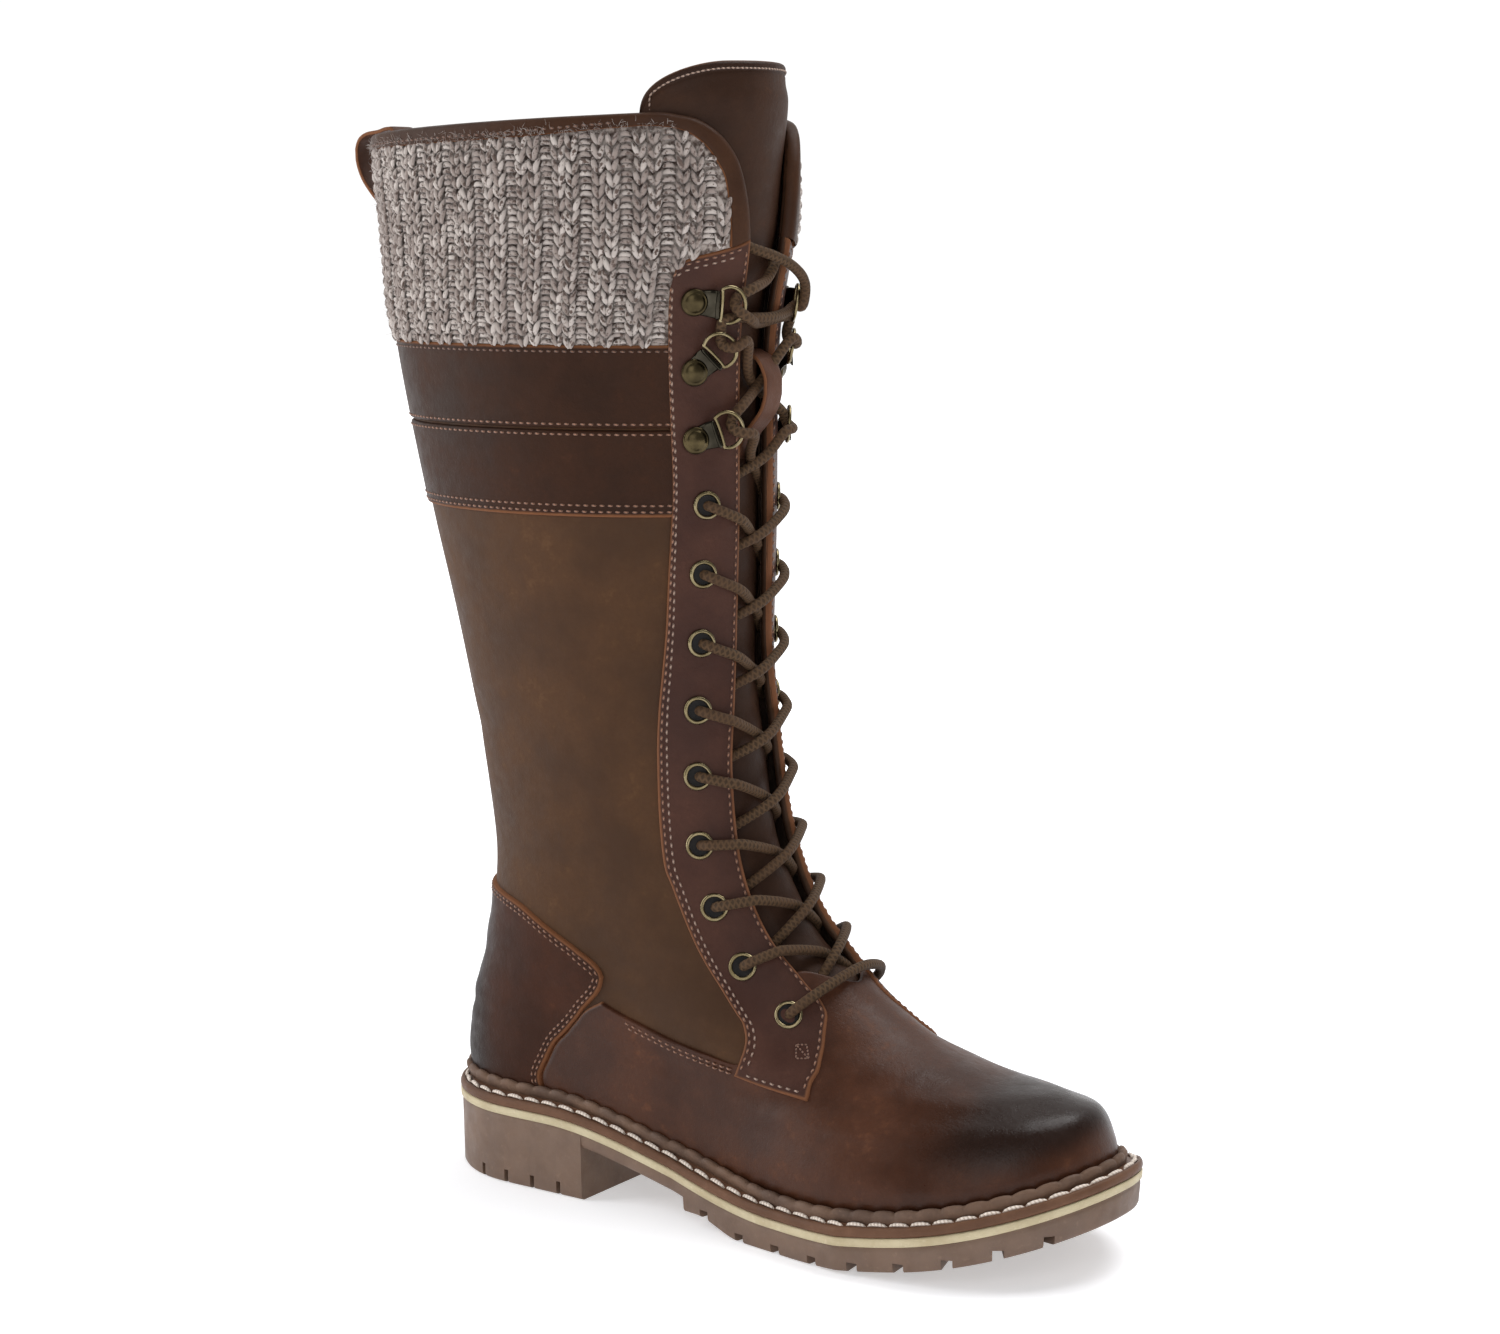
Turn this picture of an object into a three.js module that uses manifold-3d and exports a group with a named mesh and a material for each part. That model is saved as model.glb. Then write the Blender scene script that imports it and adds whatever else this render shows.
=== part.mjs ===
// Knee-high lace-up boot with a knitted cuff and a lugged rubber sole, for the right foot.
// Millimetres. +X runs to the toe, +Y to the inner (medial) side, +Z up.
// The origin is on the floor, under the middle of the heel.
import * as THREE from 'three';
import { mergeVertices } from 'three/addons/utils/BufferGeometryUtils.js';
import Module from 'manifold-3d';

const wasm = await Module();
wasm.setup();

// Driving dimensions of the sole.
const sole = {
  back: -37, toe: 239, toeInset: 6, backReach: 0.15, toeReach: 0.21,
  heelHeight: 26.5, foreHeight: 9.5, pitchFrom: 20, pitchTo: 126,
  springFrom: 134, springRun: 105, toeSpring: 21,
  stripe: 2.4, welt: 5, base: 5.5,
  heelBreast: 38.2, treadFrom: 84, treadFlat: 112, treadLift: 5, treadRun: 22,
  notch: 3.2, notchHeight: 3.5,
};
// Notches in the sole's lower edge: where a row starts, the step round the outline, how many a
// side and how far they reach in.
const notchRows = [
  { fromX: 94.5, step: 17.3, count: 9, depth: 19.2 },
  { fromX: -10.5, step: 12.45, count: 4, depth: 12 },
];
const backNotch = { places: [0.1, 1.9], depth: 12 };
// Grooves across the forefoot, clear of its flat spot.
const crossGrooves = { at: [103, 138, 155, 172, 189, 206], outer: -16, inner: 22 };
// Half widths of the sole, outer and inner side, along its length from 0 at the back to 1 at the toe.
const soleStations = [
  { along: 0, outer: 34.5, inner: 34.5 },
  { along: 0.14, outer: 34.5, inner: 34.5 },
  { along: 0.42, outer: 38, inner: 31 },
  { along: 0.7, outer: 53.5, inner: 46 },
  { along: 0.85, outer: 50, inner: 48 },
  { along: 1, outer: 47, inner: 47 },
];

// Driving dimensions of the upper and of what lies on it.
const gap = 0.3;
const wall = 2.6;
const overlay = 1.5;
const knit = 2.8;
const ringSides = 12;
const stripHeight = 6;
const stripThick = 2.8;

// The last, a row for each tilted ring from the feather line up to the collar, and one above it
// for the tongue. Each ring runs from a back point to a front point; the half widths are at the
// heel, the waist and the ball; a reach is the share of the length that an end takes to round off;
// follow says how much of the sole's own curve the ring keeps.
const lastColumns = ['backX', 'backZ', 'frontX', 'frontY', 'frontZ', 'heel', 'waistOut', 'waistIn',
  'ballOut', 'ballIn', 'backReach', 'frontReach', 'follow'];
const last = [
  [-33, 34.2, 231.5, 6, 35.3, 27, 31.5, 26, 47, 41, 0.16, 0.24, 1],
  [-34, 44, 230, 6, 44, 29, 33, 28, 48.5, 43, 0.17, 0.25, 0.9],
  [-33, 53, 225, 6, 54, 30, 33.5, 30, 45, 42, 0.18, 0.32, 0.7],
  [-31.5, 61, 212, 6, 58, 30.5, 33.5, 31.5, 41, 39, 0.19, 0.5, 0.5],
  [-29.5, 69, 185.5, 6, 61, 31, 34, 32.5, 41, 39, 0.21, 0.55, 0.3],
  [-26, 79, 157, 5, 70.5, 31, 34.5, 33, 39, 38, 0.24, 0.55, 0.15],
  [-23, 92, 135, 4, 86, 31.5, 34.5, 34, 36.5, 36, 0.28, 0.5, 0],
  [-21.1, 109, 114.5, 2, 109.5, 32.5, 34.5, 34.5, 35, 35, 0.36, 0.5, 0],
  [-21.8, 140, 100.5, 1, 142, 36, 36.3, 36.3, 36.3, 36.3, 0.48, 0.5, 0],
  [-30.8, 195, 92.8, 0, 195, 42.6, 42.6, 42.6, 42.6, 42.6, 0.5, 0.5, 0],
  [-45.6, 255, 92.5, 0, 255, 48.4, 48.4, 48.4, 48.4, 48.4, 0.5, 0.5, 0],
  [-58.5, 312, 93.5, 0, 312, 51.6, 51.6, 51.6, 51.6, 51.6, 0.5, 0.5, 0],
  [-62.5, 352, 100.2, 0, 352, 53, 53, 53, 53, 53, 0.5, 0.5, 0],
  [-67.9, 385, 101.7, 0, 391, 53.6, 53.6, 53.6, 53.6, 53.6, 0.5, 0.5, 0],
  [-70.5, 404, 102.6, 0, 412, 54, 54, 54, 54, 54, 0.5, 0.5, 0],
];
const stations = [0.14, 0.42, 0.72, 1];
const collarRow = 13;
// Every wall bends at these rows, so that pieces laid on one another keep their gap.
const bendRows = [0, 0.6, 1.3, 2, 3, 4, 5, 5.5, 6, 6.5, 7, 7.5, 8, 8.5, 9, 10, 11, 12];

// The throat, seen from the front: half width of the gap between the facings at each height.
const throat = [
  { z: 400, half: 45 }, { z: 391, half: 37 }, { z: 385, half: 26 }, { z: 373, half: 18 },
  { z: 358, half: 13.4 }, { z: 340, half: 11 }, { z: 300, half: 10 }, { z: 212, half: 10.2 },
  { z: 187, half: 12.2 }, { z: 166, half: 14.7 }, { z: 134, half: 16.2 }, { z: 112, half: 16.4 },
  { z: 100, half: 15 }, { z: 91, half: 10.5 }, { z: 87.5, half: 4 },
];
// The facing's front edge below the throat, seen from the front.
const stayTip = [
  { z: 100, half: 15.5 }, { z: 87, half: 14.1 }, { z: 80, half: 14.5 }, { z: 73.5, half: 18.4 },
  { z: 64, half: 22 }, { z: 50, half: 22 },
];
// The facing's rear edge and bottom, seen from the side.
const stayRear = [
  [92, 340.5], [86, 339.4], [81.5, 336.3], [79, 331], [78.2, 311], [78.6, 268], [76.5, 222],
  [73, 183], [71.7, 150], [73.8, 128], [83, 107], [96.7, 86.7], [105, 76], [106.8, 63], [104.2, 57.7],
];
// From the facing's front lower corner up its front edge and over the vamp, to the throat's height.
const stayCorner = [[135.4, 52.8], [134.9, 66], [134.8, 76], [150, 92], [200, 92]];
// The binding's lower edge round the front corner of the cuff, seen from the front.
const cuffCorner = [
  { z: 386, half: 46 }, { z: 382.5, half: 34 }, { z: 376, half: 27 }, { z: 366, half: 22.6 },
  { z: 354, half: 21 }, { z: 330, half: 20 },
];
// The counter's edge, seen from the side, from the back seam to the sole.
const counterEdge = [
  [-40, 113], [-16.5, 110.5], [12.6, 104.5], [30, 97], [44.7, 89], [47, 86], [46.4, 79], [39.5, 69.4],
  [28.6, 58.6], [20.1, 48.3], [15.4, 41], [15.3, 30],
];
const wingTop = [[44.8, 75], [66, 69.4], [92, 63.4], [104, 60.2]];
const wingFront = [[104.2, 56.6], [118, 54.4], [118, 20]];
// The wings thin out towards the front, where they run into the vamp.
const wingThin = { from: 84, run: 30, by: 1 };
const bandRows = { bottom: 9.95, seam: 10.47, top: 10.98, between: 0.004, thick: 1.3 };
const cuffRows = { top: 12.74, bindingFrom: 11.6 };
const backStrip = { half: 6.5, top: 251, bottom: 113 };

// Eyelets and ring clips: place along a ring (0 back to 1 front) and ring row.
const eyelet = { hole: 2.7, barrel: 3.5, flange: 5.3, cut: 3.9, top: 3 };
const eyeletPlaces = [
  [0.855, 10.02], [0.843, 9.62], [0.832, 9.22], [0.808, 8.81], [0.783, 8.39],
  [0.753, 7.86], [0.74, 7.18], [0.734, 6.37], [0.753, 5.54],
];
const clip = { length: 12, width: 7.4, thick: 0.9, dome: 4.6, domeHeight: 2.2,
  lift: overlay + 1.5 * gap };
const ring = { radius: 5.6, wire: 0.95, flatAt: 0.5, lift: 5 };
const clipPlaces = [
  { along: 0.829, row: 11.33, turn: 0, ringAlong: 0.888, ringRow: 11.32 },
  { along: 0.836, row: 10.81, turn: 46, ringAlong: 0.877, ringRow: 10.96 },
  { along: 0.836, row: 10.4, turn: 20, ringAlong: 0.892, ringRow: 10.46 },
];
const lace = { radius: 2, sides: 5, steps: 3, arch: 2.4, over: 4 };
const tongue = {
  thick: 3.5, bottomRow: 5.35, topRow: 13.72, shoulder: 0.7, cornerRows: 0.62, sunk: 2.6,
  halfBelow: 0.2, halfAbove: 0.3,
};
// The keeper's height and how far it stands from the tongue: outer line up, inner line down.
const keeper = {
  fromY: -0.5, width: 7,
  outer: [[0, 311], [1.4, 309.5], [4, 305], [5, 297], [4, 289], [1.4, 284.5], [0, 283]],
  inner: [[0, 286], [2.2, 290.5], [3.1, 297], [2.2, 303.5], [0, 308]],
};
const loop = { half: 6.5, thick: 1.6, backX: -84.4, cuffRow: 11.7 };
const insole = { thick: 4, clearance: 0.8 };

const sides = [
  { name: 'lateral', sign: -1 },
  { name: 'medial', sign: 1 },
];

const materials = {
  rubber: new THREE.MeshStandardMaterial({ color: 0x6b5546, roughness: 0.75 }),
  stripe: new THREE.MeshStandardMaterial({ color: 0xcdbb92, roughness: 0.7 }),
  welt: new THREE.MeshStandardMaterial({ color: 0x6a4227, roughness: 0.6 }),
  strip: new THREE.MeshStandardMaterial({ color: 0x4a3a30, roughness: 0.8 }),
  lining: new THREE.MeshStandardMaterial({ color: 0x2b231e, roughness: 0.95 }),
  leather: new THREE.MeshStandardMaterial({ color: 0x5b4130, roughness: 0.55 }),
  redLeather: new THREE.MeshStandardMaterial({ color: 0x5a3424, roughness: 0.5 }),
  facing: new THREE.MeshStandardMaterial({ color: 0x50302b, roughness: 0.5 }),
  knit: new THREE.MeshStandardMaterial({ color: 0xb7a89a, roughness: 0.95 }),
  brass: new THREE.MeshStandardMaterial({ color: 0x8d7a52, roughness: 0.35, metalness: 1 }),
  lace: new THREE.MeshStandardMaterial({ color: 0x5f4c38, roughness: 0.9 }),
};

const ramp = (value) => {
  const u = THREE.MathUtils.clamp(value, 0, 1);
  return u * u * (3 - 2 * u);
};
const mix = THREE.MathUtils.lerp;

// Heights along the sole.
const share = (x, from, run) => THREE.MathUtils.clamp((x - from) / run, 0, 1);
const toeRise = (x) => sole.toeSpring * share(x, sole.springFrom, sole.springRun) ** 2;
const pitch = (x) => ramp(share(x, sole.pitchFrom, sole.pitchTo - sole.pitchFrom));
const stripeZ = (x) => mix(sole.heelHeight, sole.foreHeight, pitch(x)) + toeRise(x);
const weltZ = (x) => stripeZ(x) + sole.stripe + sole.welt;
const treadZ = (x) => toeRise(x) + sole.treadLift * ramp((sole.treadFlat - x) / sole.treadRun);

// A closed mesh becomes a solid, and a solid a geometry.
function toSolid(geometry) {
  const bare = geometry.clone();
  bare.deleteAttribute('normal');
  bare.deleteAttribute('uv');
  const merged = mergeVertices(bare, 1e-5);
  const triVerts = merged.index.array;
  return new wasm.Manifold(new wasm.Mesh({
    numProp: 3,
    vertProperties: Float32Array.from(merged.attributes.position.array),
    triVerts: Uint32Array.from(triVerts),
  }));
}

function toGeometry(solid) {
  const mesh = solid.getMesh();
  const geometry = new THREE.BufferGeometry();
  const positions = [];
  for (let i = 0; i < mesh.numVert; i += 1) {
    positions.push(...mesh.vertProperties.slice(i * mesh.numProp, i * mesh.numProp + 3));
  }
  geometry.setAttribute('position', new THREE.Float32BufferAttribute(positions, 3));
  geometry.setIndex([...mesh.triVerts]);
  return geometry;
}

function fromFaces(points, faces) {
  const geometry = new THREE.BufferGeometry();
  const positions = points.flatMap((p) => p.toArray());
  geometry.setAttribute('position', new THREE.Float32BufferAttribute(positions, 3));
  geometry.setIndex(faces.flat());
  return geometry;
}

// A smooth value down a column of the last, by cubic pieces through its rows.
function lastValue(name, row) {
  const at = lastColumns.indexOf(name);
  const end = last.length - 1;
  const v = THREE.MathUtils.clamp(row, 0, end);
  const i = Math.min(Math.floor(v), end - 1);
  const u = v - i;
  const value = (k) => last[THREE.MathUtils.clamp(k, 0, end)][at];
  const step = value(i + 1) - value(i);
  const slopeIn = i > 0 ? (value(i + 1) - value(i - 1)) / 2 : step;
  const slopeOut = i < end - 1 ? (value(i + 2) - value(i)) / 2 : step;
  return (2 * u ** 3 - 3 * u ** 2 + 1) * value(i) + (u ** 3 - 2 * u ** 2 + u) * slopeIn
    + (3 * u ** 2 - 2 * u ** 3) * value(i + 1) + (u ** 3 - u ** 2) * slopeOut;
}

const endRound = (share, reach) => Math.sqrt(1 - THREE.MathUtils.clamp(1 - share / reach, 0, 1) ** 2);

// A point of the last's surface. Round runs from 0 at the back along the outer side to 1 at the
// front, and back along the inner side to 2.
function lastPoint(round, row) {
  const turn = THREE.MathUtils.euclideanModulo(round, 2);
  const side = turn <= 1 ? -1 : 1;
  const along = turn <= 1 ? turn : 2 - turn;
  const g = Object.fromEntries(lastColumns.map((name) => [name, lastValue(name, row)]));
  const t = (1 - Math.cos(Math.PI * along)) / 2;
  const waist = side < 0 ? g.waistOut : g.waistIn;
  const ball = side < 0 ? g.ballOut : g.ballIn;
  const half = g.heel + (waist - g.heel) * ramp((t - stations[0]) / (stations[1] - stations[0]))
    + (ball - waist) * ramp((t - stations[1]) / (stations[2] - stations[1]));
  const x = mix(g.backX, g.frontX, t);
  const y = g.frontY * t + side * half * endRound(t, g.backReach) * endRound(1 - t, g.frontReach);
  const chord = mix(weltZ(g.backX), weltZ(g.frontX), t);
  return new THREE.Vector3(x, y, mix(g.backZ, g.frontZ, t) + g.follow * (weltZ(x) - chord));
}

// The surface's outward normal, laid level at the feather line and at the collar.
function lastNormal(round, row) {
  const step = 0.004;
  const top = last.length - 1;
  const across = lastPoint(round + step, row).sub(lastPoint(round - step, row));
  const up = lastPoint(round, Math.min(row + step, top)).sub(lastPoint(round, Math.max(row - step, 0)));
  const normal = across.cross(up).normalize();
  normal.z *= ramp(row) * (1 - ramp(row - collarRow + 1));
  return normal.normalize();
}

const grown = (round, row, grow) => lastPoint(round, row).addScaledVector(lastNormal(round, row), grow);

// A wall between two grids of points, outer and inner, both with rows that run upwards.
// A closed wall's rows run right round; an open one is stitched at its two ends.
function wallSolid(outer, inner, closed) {
  const rows = outer.length;
  const count = outer[0].length;
  const base = rows * count;
  const id = (k, i) => k * count + (i % count);
  const faces = [];
  const quad = (a, b, c, d) => faces.push([a, b, c], [a, c, d]);
  const spans = closed ? count : count - 1;
  for (let k = 0; k < rows - 1; k += 1) {
    for (let i = 0; i < spans; i += 1) {
      quad(id(k, i), id(k, i + 1), id(k + 1, i + 1), id(k + 1, i));
      quad(base + id(k, i), base + id(k + 1, i), base + id(k + 1, i + 1), base + id(k, i + 1));
    }
    if (!closed) {
      quad(id(k, 0), id(k + 1, 0), base + id(k + 1, 0), base + id(k, 0));
      const e = count - 1;
      quad(id(k, e), base + id(k, e), base + id(k + 1, e), id(k + 1, e));
    }
  }
  for (let i = 0; i < spans; i += 1) {
    const t = rows - 1;
    quad(id(t, i), id(t, i + 1), base + id(t, i + 1), base + id(t, i));
    quad(id(0, i), base + id(0, i), base + id(0, i + 1), id(0, i + 1));
  }
  return toSolid(fromFaces([...outer.flat(), ...inner.flat()], faces));
}

// A ring of the upper's form between two growths; a growth is a number or a function of the point.
function formShell(rows, outerGrow, innerGrow, perSide = ringSides) {
  const value = (grow, p) => (typeof grow === 'function' ? grow(p) : grow);
  const grid = (grow) => rows.map((row) => Array.from({ length: 2 * perSide }, (_, i) => {
    const round = i / perSide;
    return grown(round, row, value(grow, lastPoint(round, row)));
  }));
  return wallSolid(grid(outerGrow), grid(innerGrow), true);
}

// The rows from one to another, with every bend row between them.
function rowsBetween(from, to) {
  return [from, ...bendRows.filter((row) => row > from + 0.05 && row < to - 0.05), to];
}

const span = (from, to, count) => Array.from({ length: count + 1 }, (_, i) => mix(from, to, i / count));

// Smooth points through a short outline.
function smooth(points, divisions = 1) {
  const curve = new THREE.SplineCurve(points.map(([a, b]) => new THREE.Vector2(a, b)));
  return curve.getPoints((points.length - 1) * divisions);
}

// A prism of an outline seen from the side (x, z), from one y to another.
function sidePrism(outline, fromY, toY) {
  const shape = new THREE.Shape(outline);
  const geometry = new THREE.ExtrudeGeometry(shape, { depth: toY - fromY, bevelEnabled: false });
  geometry.rotateX(Math.PI / 2);
  geometry.translate(0, toY, 0);
  return toSolid(geometry);
}

// A prism of an outline seen from the front (y, z), from one x to another.
function frontPrism(outline, fromX, toX) {
  const shape = new THREE.Shape(outline);
  const geometry = new THREE.ExtrudeGeometry(shape, { depth: toX - fromX, bevelEnabled: false });
  geometry.applyMatrix4(new THREE.Matrix4().makeBasis(
    new THREE.Vector3(0, 1, 0), new THREE.Vector3(0, 0, 1), new THREE.Vector3(1, 0, 0)));
  geometry.translate(fromX, 0, 0);
  return toSolid(geometry);
}

const box = (low, high) => {
  const geometry = new THREE.BoxGeometry(high[0] - low[0], high[1] - low[1], high[2] - low[2]);
  geometry.translate((low[0] + high[0]) / 2, (low[1] + high[1]) / 2, (low[2] + high[2]) / 2);
  return toSolid(geometry);
};

const far = 140;

// The middle of the throat drifts to the inner side towards the vamp, as the last's front does.
const middleY = (z) => 4.5 * ramp((150 - z) / 75);

// The two edges of a front opening given as half widths by height, widened by extra.
function frontOutline(table, extra = 0) {
  const right = smooth(table.map(({ z, half }) => [half + extra, z]));
  const left = right.map((p) => new THREE.Vector2(middleY(p.y) - p.x, p.y)).reverse();
  return [...right.map((p) => new THREE.Vector2(middleY(p.y) + p.x, p.y)), ...left];
}

const throatCut = frontPrism(frontOutline(throat), 45, 200);

// The outline of the sole grown outwards: a point for a place round it, as on the last.
function solePoint(round, grow = 0) {
  const flat = (turn) => {
    const r = THREE.MathUtils.euclideanModulo(turn, 2);
    const side = r <= 1 ? 'outer' : 'inner';
    const along = r <= 1 ? r : 2 - r;
    const t = (1 - Math.cos(Math.PI * along)) / 2;
    const k = Math.max(1, soleStations.findIndex((s) => s.along >= t));
    const a = soleStations[k - 1];
    const b = soleStations[k];
    const half = mix(a[side], b[side], (t - a.along) / (b.along - a.along));
    const reach = endRound(t, sole.backReach) * endRound(1 - t, sole.toeReach);
    const y = sole.toeInset * t + (r <= 1 ? -1 : 1) * half * reach;
    return new THREE.Vector2(mix(sole.back, sole.toe, t), y);
  };
  const step = 0.01;
  const tangent = flat(round + step).sub(flat(round - step)).normalize();
  return flat(round).add(new THREE.Vector2(tangent.y, -tangent.x).multiplyScalar(grow));
}

// A plate with the sole's outline: each level gives the growth of its outline and its height.
function solePlate(levels, perSide = 20) {
  const count = 2 * perSide;
  const points = levels.flatMap(({ grow, height }) => Array.from({ length: count }, (_, i) => {
    const p = solePoint(i / perSide, grow);
    return new THREE.Vector3(p.x, p.y, height(p.x));
  }));
  return cappedRings(points, levels.length, count);
}

// Rings of points joined upwards, with caps made of strips from side to side.
function cappedRings(points, levels, count) {
  const faces = [];
  for (let k = 0; k < levels - 1; k += 1) {
    for (let i = 0; i < count; i += 1) {
      const a = k * count + i;
      const b = k * count + ((i + 1) % count);
      faces.push([a, b, b + count], [a, b + count, a + count]);
    }
  }
  const top = (levels - 1) * count;
  for (let i = 0; i < count / 2; i += 1) {
    const [a, b, c, d] = [i, i + 1, count - i - 1, (count - i) % count];
    if (b !== c) {
      faces.push([top + a, top + b, top + c], [a, c, b]);
    }
    if (a !== d) {
      faces.push([top + a, top + c, top + d], [a, d, c]);
    }
  }
  return toSolid(fromFaces(points, faces));
}

// Places round the outline at equal steps along one side, starting where x passes a value.
function notchPlaces(sign, fromX, step, count) {
  const places = [];
  let travelled = 0;
  let previous = null;
  for (let i = 0; i <= 1200 && places.length < count; i += 1) {
    const round = sign < 0 ? i / 1200 : 2 - i / 1200;
    const p = solePoint(round);
    if (previous && p.x >= fromX) {
      travelled += p.distanceTo(previous);
      if (places.length === 0 || travelled >= step) {
        places.push(round);
        travelled = 0;
      }
    }
    previous = p;
  }
  return places;
}

// A slot into the sole's edge at a place round it, up to a height above the tread.
function notchCut(round, depth) {
  const p = solePoint(round);
  const away = solePoint(round, 1).sub(p);
  const geometry = new THREE.BoxGeometry(depth + 6, sole.notch, sole.notchHeight + 3);
  geometry.translate(3 - depth / 2, 0, (sole.notchHeight - 3) / 2);
  geometry.rotateZ(Math.atan2(away.y, away.x));
  const tread = p.x < sole.heelBreast ? 0 : treadZ(p.x);
  geometry.translate(p.x, p.y, tread);
  return toSolid(geometry);
}

function makeOutsole() {
  const top = (x) => stripeZ(x) - gap / 2;
  const plate = solePlate([
    { grow: -1.2, height: (x) => stripeZ(x) - sole.base },
    { grow: 0, height: (x) => stripeZ(x) - sole.base + 1 },
    { grow: 0, height: top },
  ]);
  const heel = solePlate([
    { grow: -1.6, height: () => 0 },
    { grow: -0.6, height: () => 1.4 },
    { grow: -0.1, height: (x) => stripeZ(x) - 2 },
  ]).intersect(box([-far, -far, -1], [sole.heelBreast, far, 60]));
  const tread = solePlate([
    { grow: -1.6, height: treadZ },
    { grow: -0.6, height: (x) => treadZ(x) + 1.2 },
    { grow: -0.1, height: (x) => stripeZ(x) - 2 },
  ]).intersect(box([sole.treadFrom, -far, -1], [2 * far, far, 80]));
  let solid = plate.add(heel).add(tread);
  for (const { fromX, step, count, depth } of notchRows) {
    for (const { sign } of sides) {
      for (const round of notchPlaces(sign, fromX, step, count)) {
        solid = solid.subtract(notchCut(round, depth));
      }
    }
  }
  for (const round of backNotch.places) {
    solid = solid.subtract(notchCut(round, backNotch.depth));
  }
  for (const x of crossGrooves.at) {
    const low = treadZ(x);
    const corner = [x + sole.notch, crossGrooves.inner, low + sole.notchHeight];
    solid = solid.subtract(box([x, crossGrooves.outer, low - 4], corner));
  }
  return solid;
}

// The strip that stands on the welt, against the upper.
function makeStormStrip() {
  const grid = (grow) => [gap, stripHeight].map((lift) => Array.from({ length: 2 * ringSides }, (_, i) => {
    const p = grown(i / ringSides, lift / 10, grow);
    return new THREE.Vector3(p.x, p.y, weltZ(p.x) + lift);
  }));
  return wallSolid(grid(gap + stripThick), grid(gap), true);
}

function makeInsole() {
  const grow = -(wall + insole.clearance);
  const count = 2 * ringSides;
  const levels = [gap, gap + insole.thick];
  const points = levels.flatMap((lift) => Array.from({ length: count }, (_, i) => {
    const p = grown(i / ringSides, 0, grow);
    return new THREE.Vector3(p.x, p.y, weltZ(p.x) + lift);
  }));
  return cappedRings(points, levels.length, count);
}

// Where the eyelets and clips sit: a frame on the surface, with its axis out of the leather.
function surfaceFrame(sign, along, row, turn = 0) {
  const round = sign < 0 ? along : 2 - along;
  const normal = lastNormal(round, row);
  const ahead = lastPoint(round - sign * 0.01, row).sub(lastPoint(round, row));
  ahead.addScaledVector(normal, -ahead.dot(normal)).normalize();
  const up = new THREE.Vector3().crossVectors(normal, ahead).multiplyScalar(-sign);
  const angle = THREE.MathUtils.degToRad(turn);
  const forward = ahead.clone().multiplyScalar(Math.cos(angle)).addScaledVector(up, Math.sin(angle));
  const across = new THREE.Vector3().crossVectors(normal, forward);
  const basis = new THREE.Matrix4().makeBasis(forward, across, normal);
  const quaternion = new THREE.Quaternion().setFromRotationMatrix(basis);
  return { position: lastPoint(round, row), quaternion, basis };
}

function eyeletHole(sign, [along, row]) {
  const frame = surfaceFrame(sign, along, row);
  const geometry = new THREE.CylinderGeometry(eyelet.cut, eyelet.cut, 14, 8);
  geometry.rotateX(Math.PI / 2);
  geometry.applyMatrix4(frame.basis.clone().setPosition(frame.position));
  return toSolid(geometry);
}

function eyeletGeometry() {
  const { hole, barrel, flange, top } = eyelet;
  const under = overlay + 2 * gap;
  const profile = [
    [hole, -wall - gap], [barrel, -wall - gap], [barrel, under], [flange, under],
    [hole + 0.9, top], [hole, -wall - gap],
  ].map(([r, z]) => new THREE.Vector2(r, z));
  const geometry = new THREE.LatheGeometry(profile, 8);
  geometry.rotateX(Math.PI / 2);
  return geometry;
}

function clipGeometry() {
  const { length, width, thick, dome, domeHeight } = clip;
  const r = width / 2;
  const shape = new THREE.Shape();
  shape.moveTo(length - r, -r * 0.6);
  shape.lineTo(length - r, r * 0.6);
  shape.lineTo(0, r);
  shape.absarc(0, 0, r, Math.PI / 2, Math.PI * 1.5, false);
  const plate = new THREE.ExtrudeGeometry(shape, { depth: thick, bevelEnabled: false, curveSegments: 3 });
  plate.translate(0, 0, clip.lift);
  const cap = new THREE.LatheGeometry([
    [0, 0], [dome, 0], [dome, thick], [dome * 0.7, thick + domeHeight * 0.75], [0, thick + domeHeight],
  ].map(([a, b]) => new THREE.Vector2(a, b)), 8);
  cap.rotateX(Math.PI / 2);
  cap.translate(0, 0, clip.lift);
  return toGeometry(toSolid(plate).add(toSolid(cap)));
}

// A wire ring with one straight side.
function ringGeometry() {
  const { radius, wire, flatAt } = ring;
  const geometry = new THREE.TorusGeometry(radius, wire, 4, 11);
  const position = geometry.attributes.position;
  for (let i = 0; i < position.count; i += 1) {
    const angle = Math.atan2(position.getY(i), position.getX(i));
    const centre = radius * Math.cos(angle);
    position.setX(i, position.getX(i) + Math.max(centre, -radius * flatAt) - centre);
  }
  geometry.translate(0, 0, ring.lift);
  return geometry;
}

// A round cord along points, closed at both ends.
function cordSolid(points, radius = lace.radius, sideCount = lace.sides) {
  const curve = new THREE.CatmullRomCurve3(points);
  const shape = new THREE.Shape();
  for (let i = 0; i < sideCount; i += 1) {
    const angle = (2 * Math.PI * i) / sideCount;
    const place = [radius * Math.cos(angle), radius * Math.sin(angle)];
    if (i === 0) {
      shape.moveTo(...place);
    } else {
      shape.lineTo(...place);
    }
  }
  const options = { steps: lace.steps, bevelEnabled: false, extrudePath: curve };
  return toSolid(new THREE.ExtrudeGeometry(shape, options));
}

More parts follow.
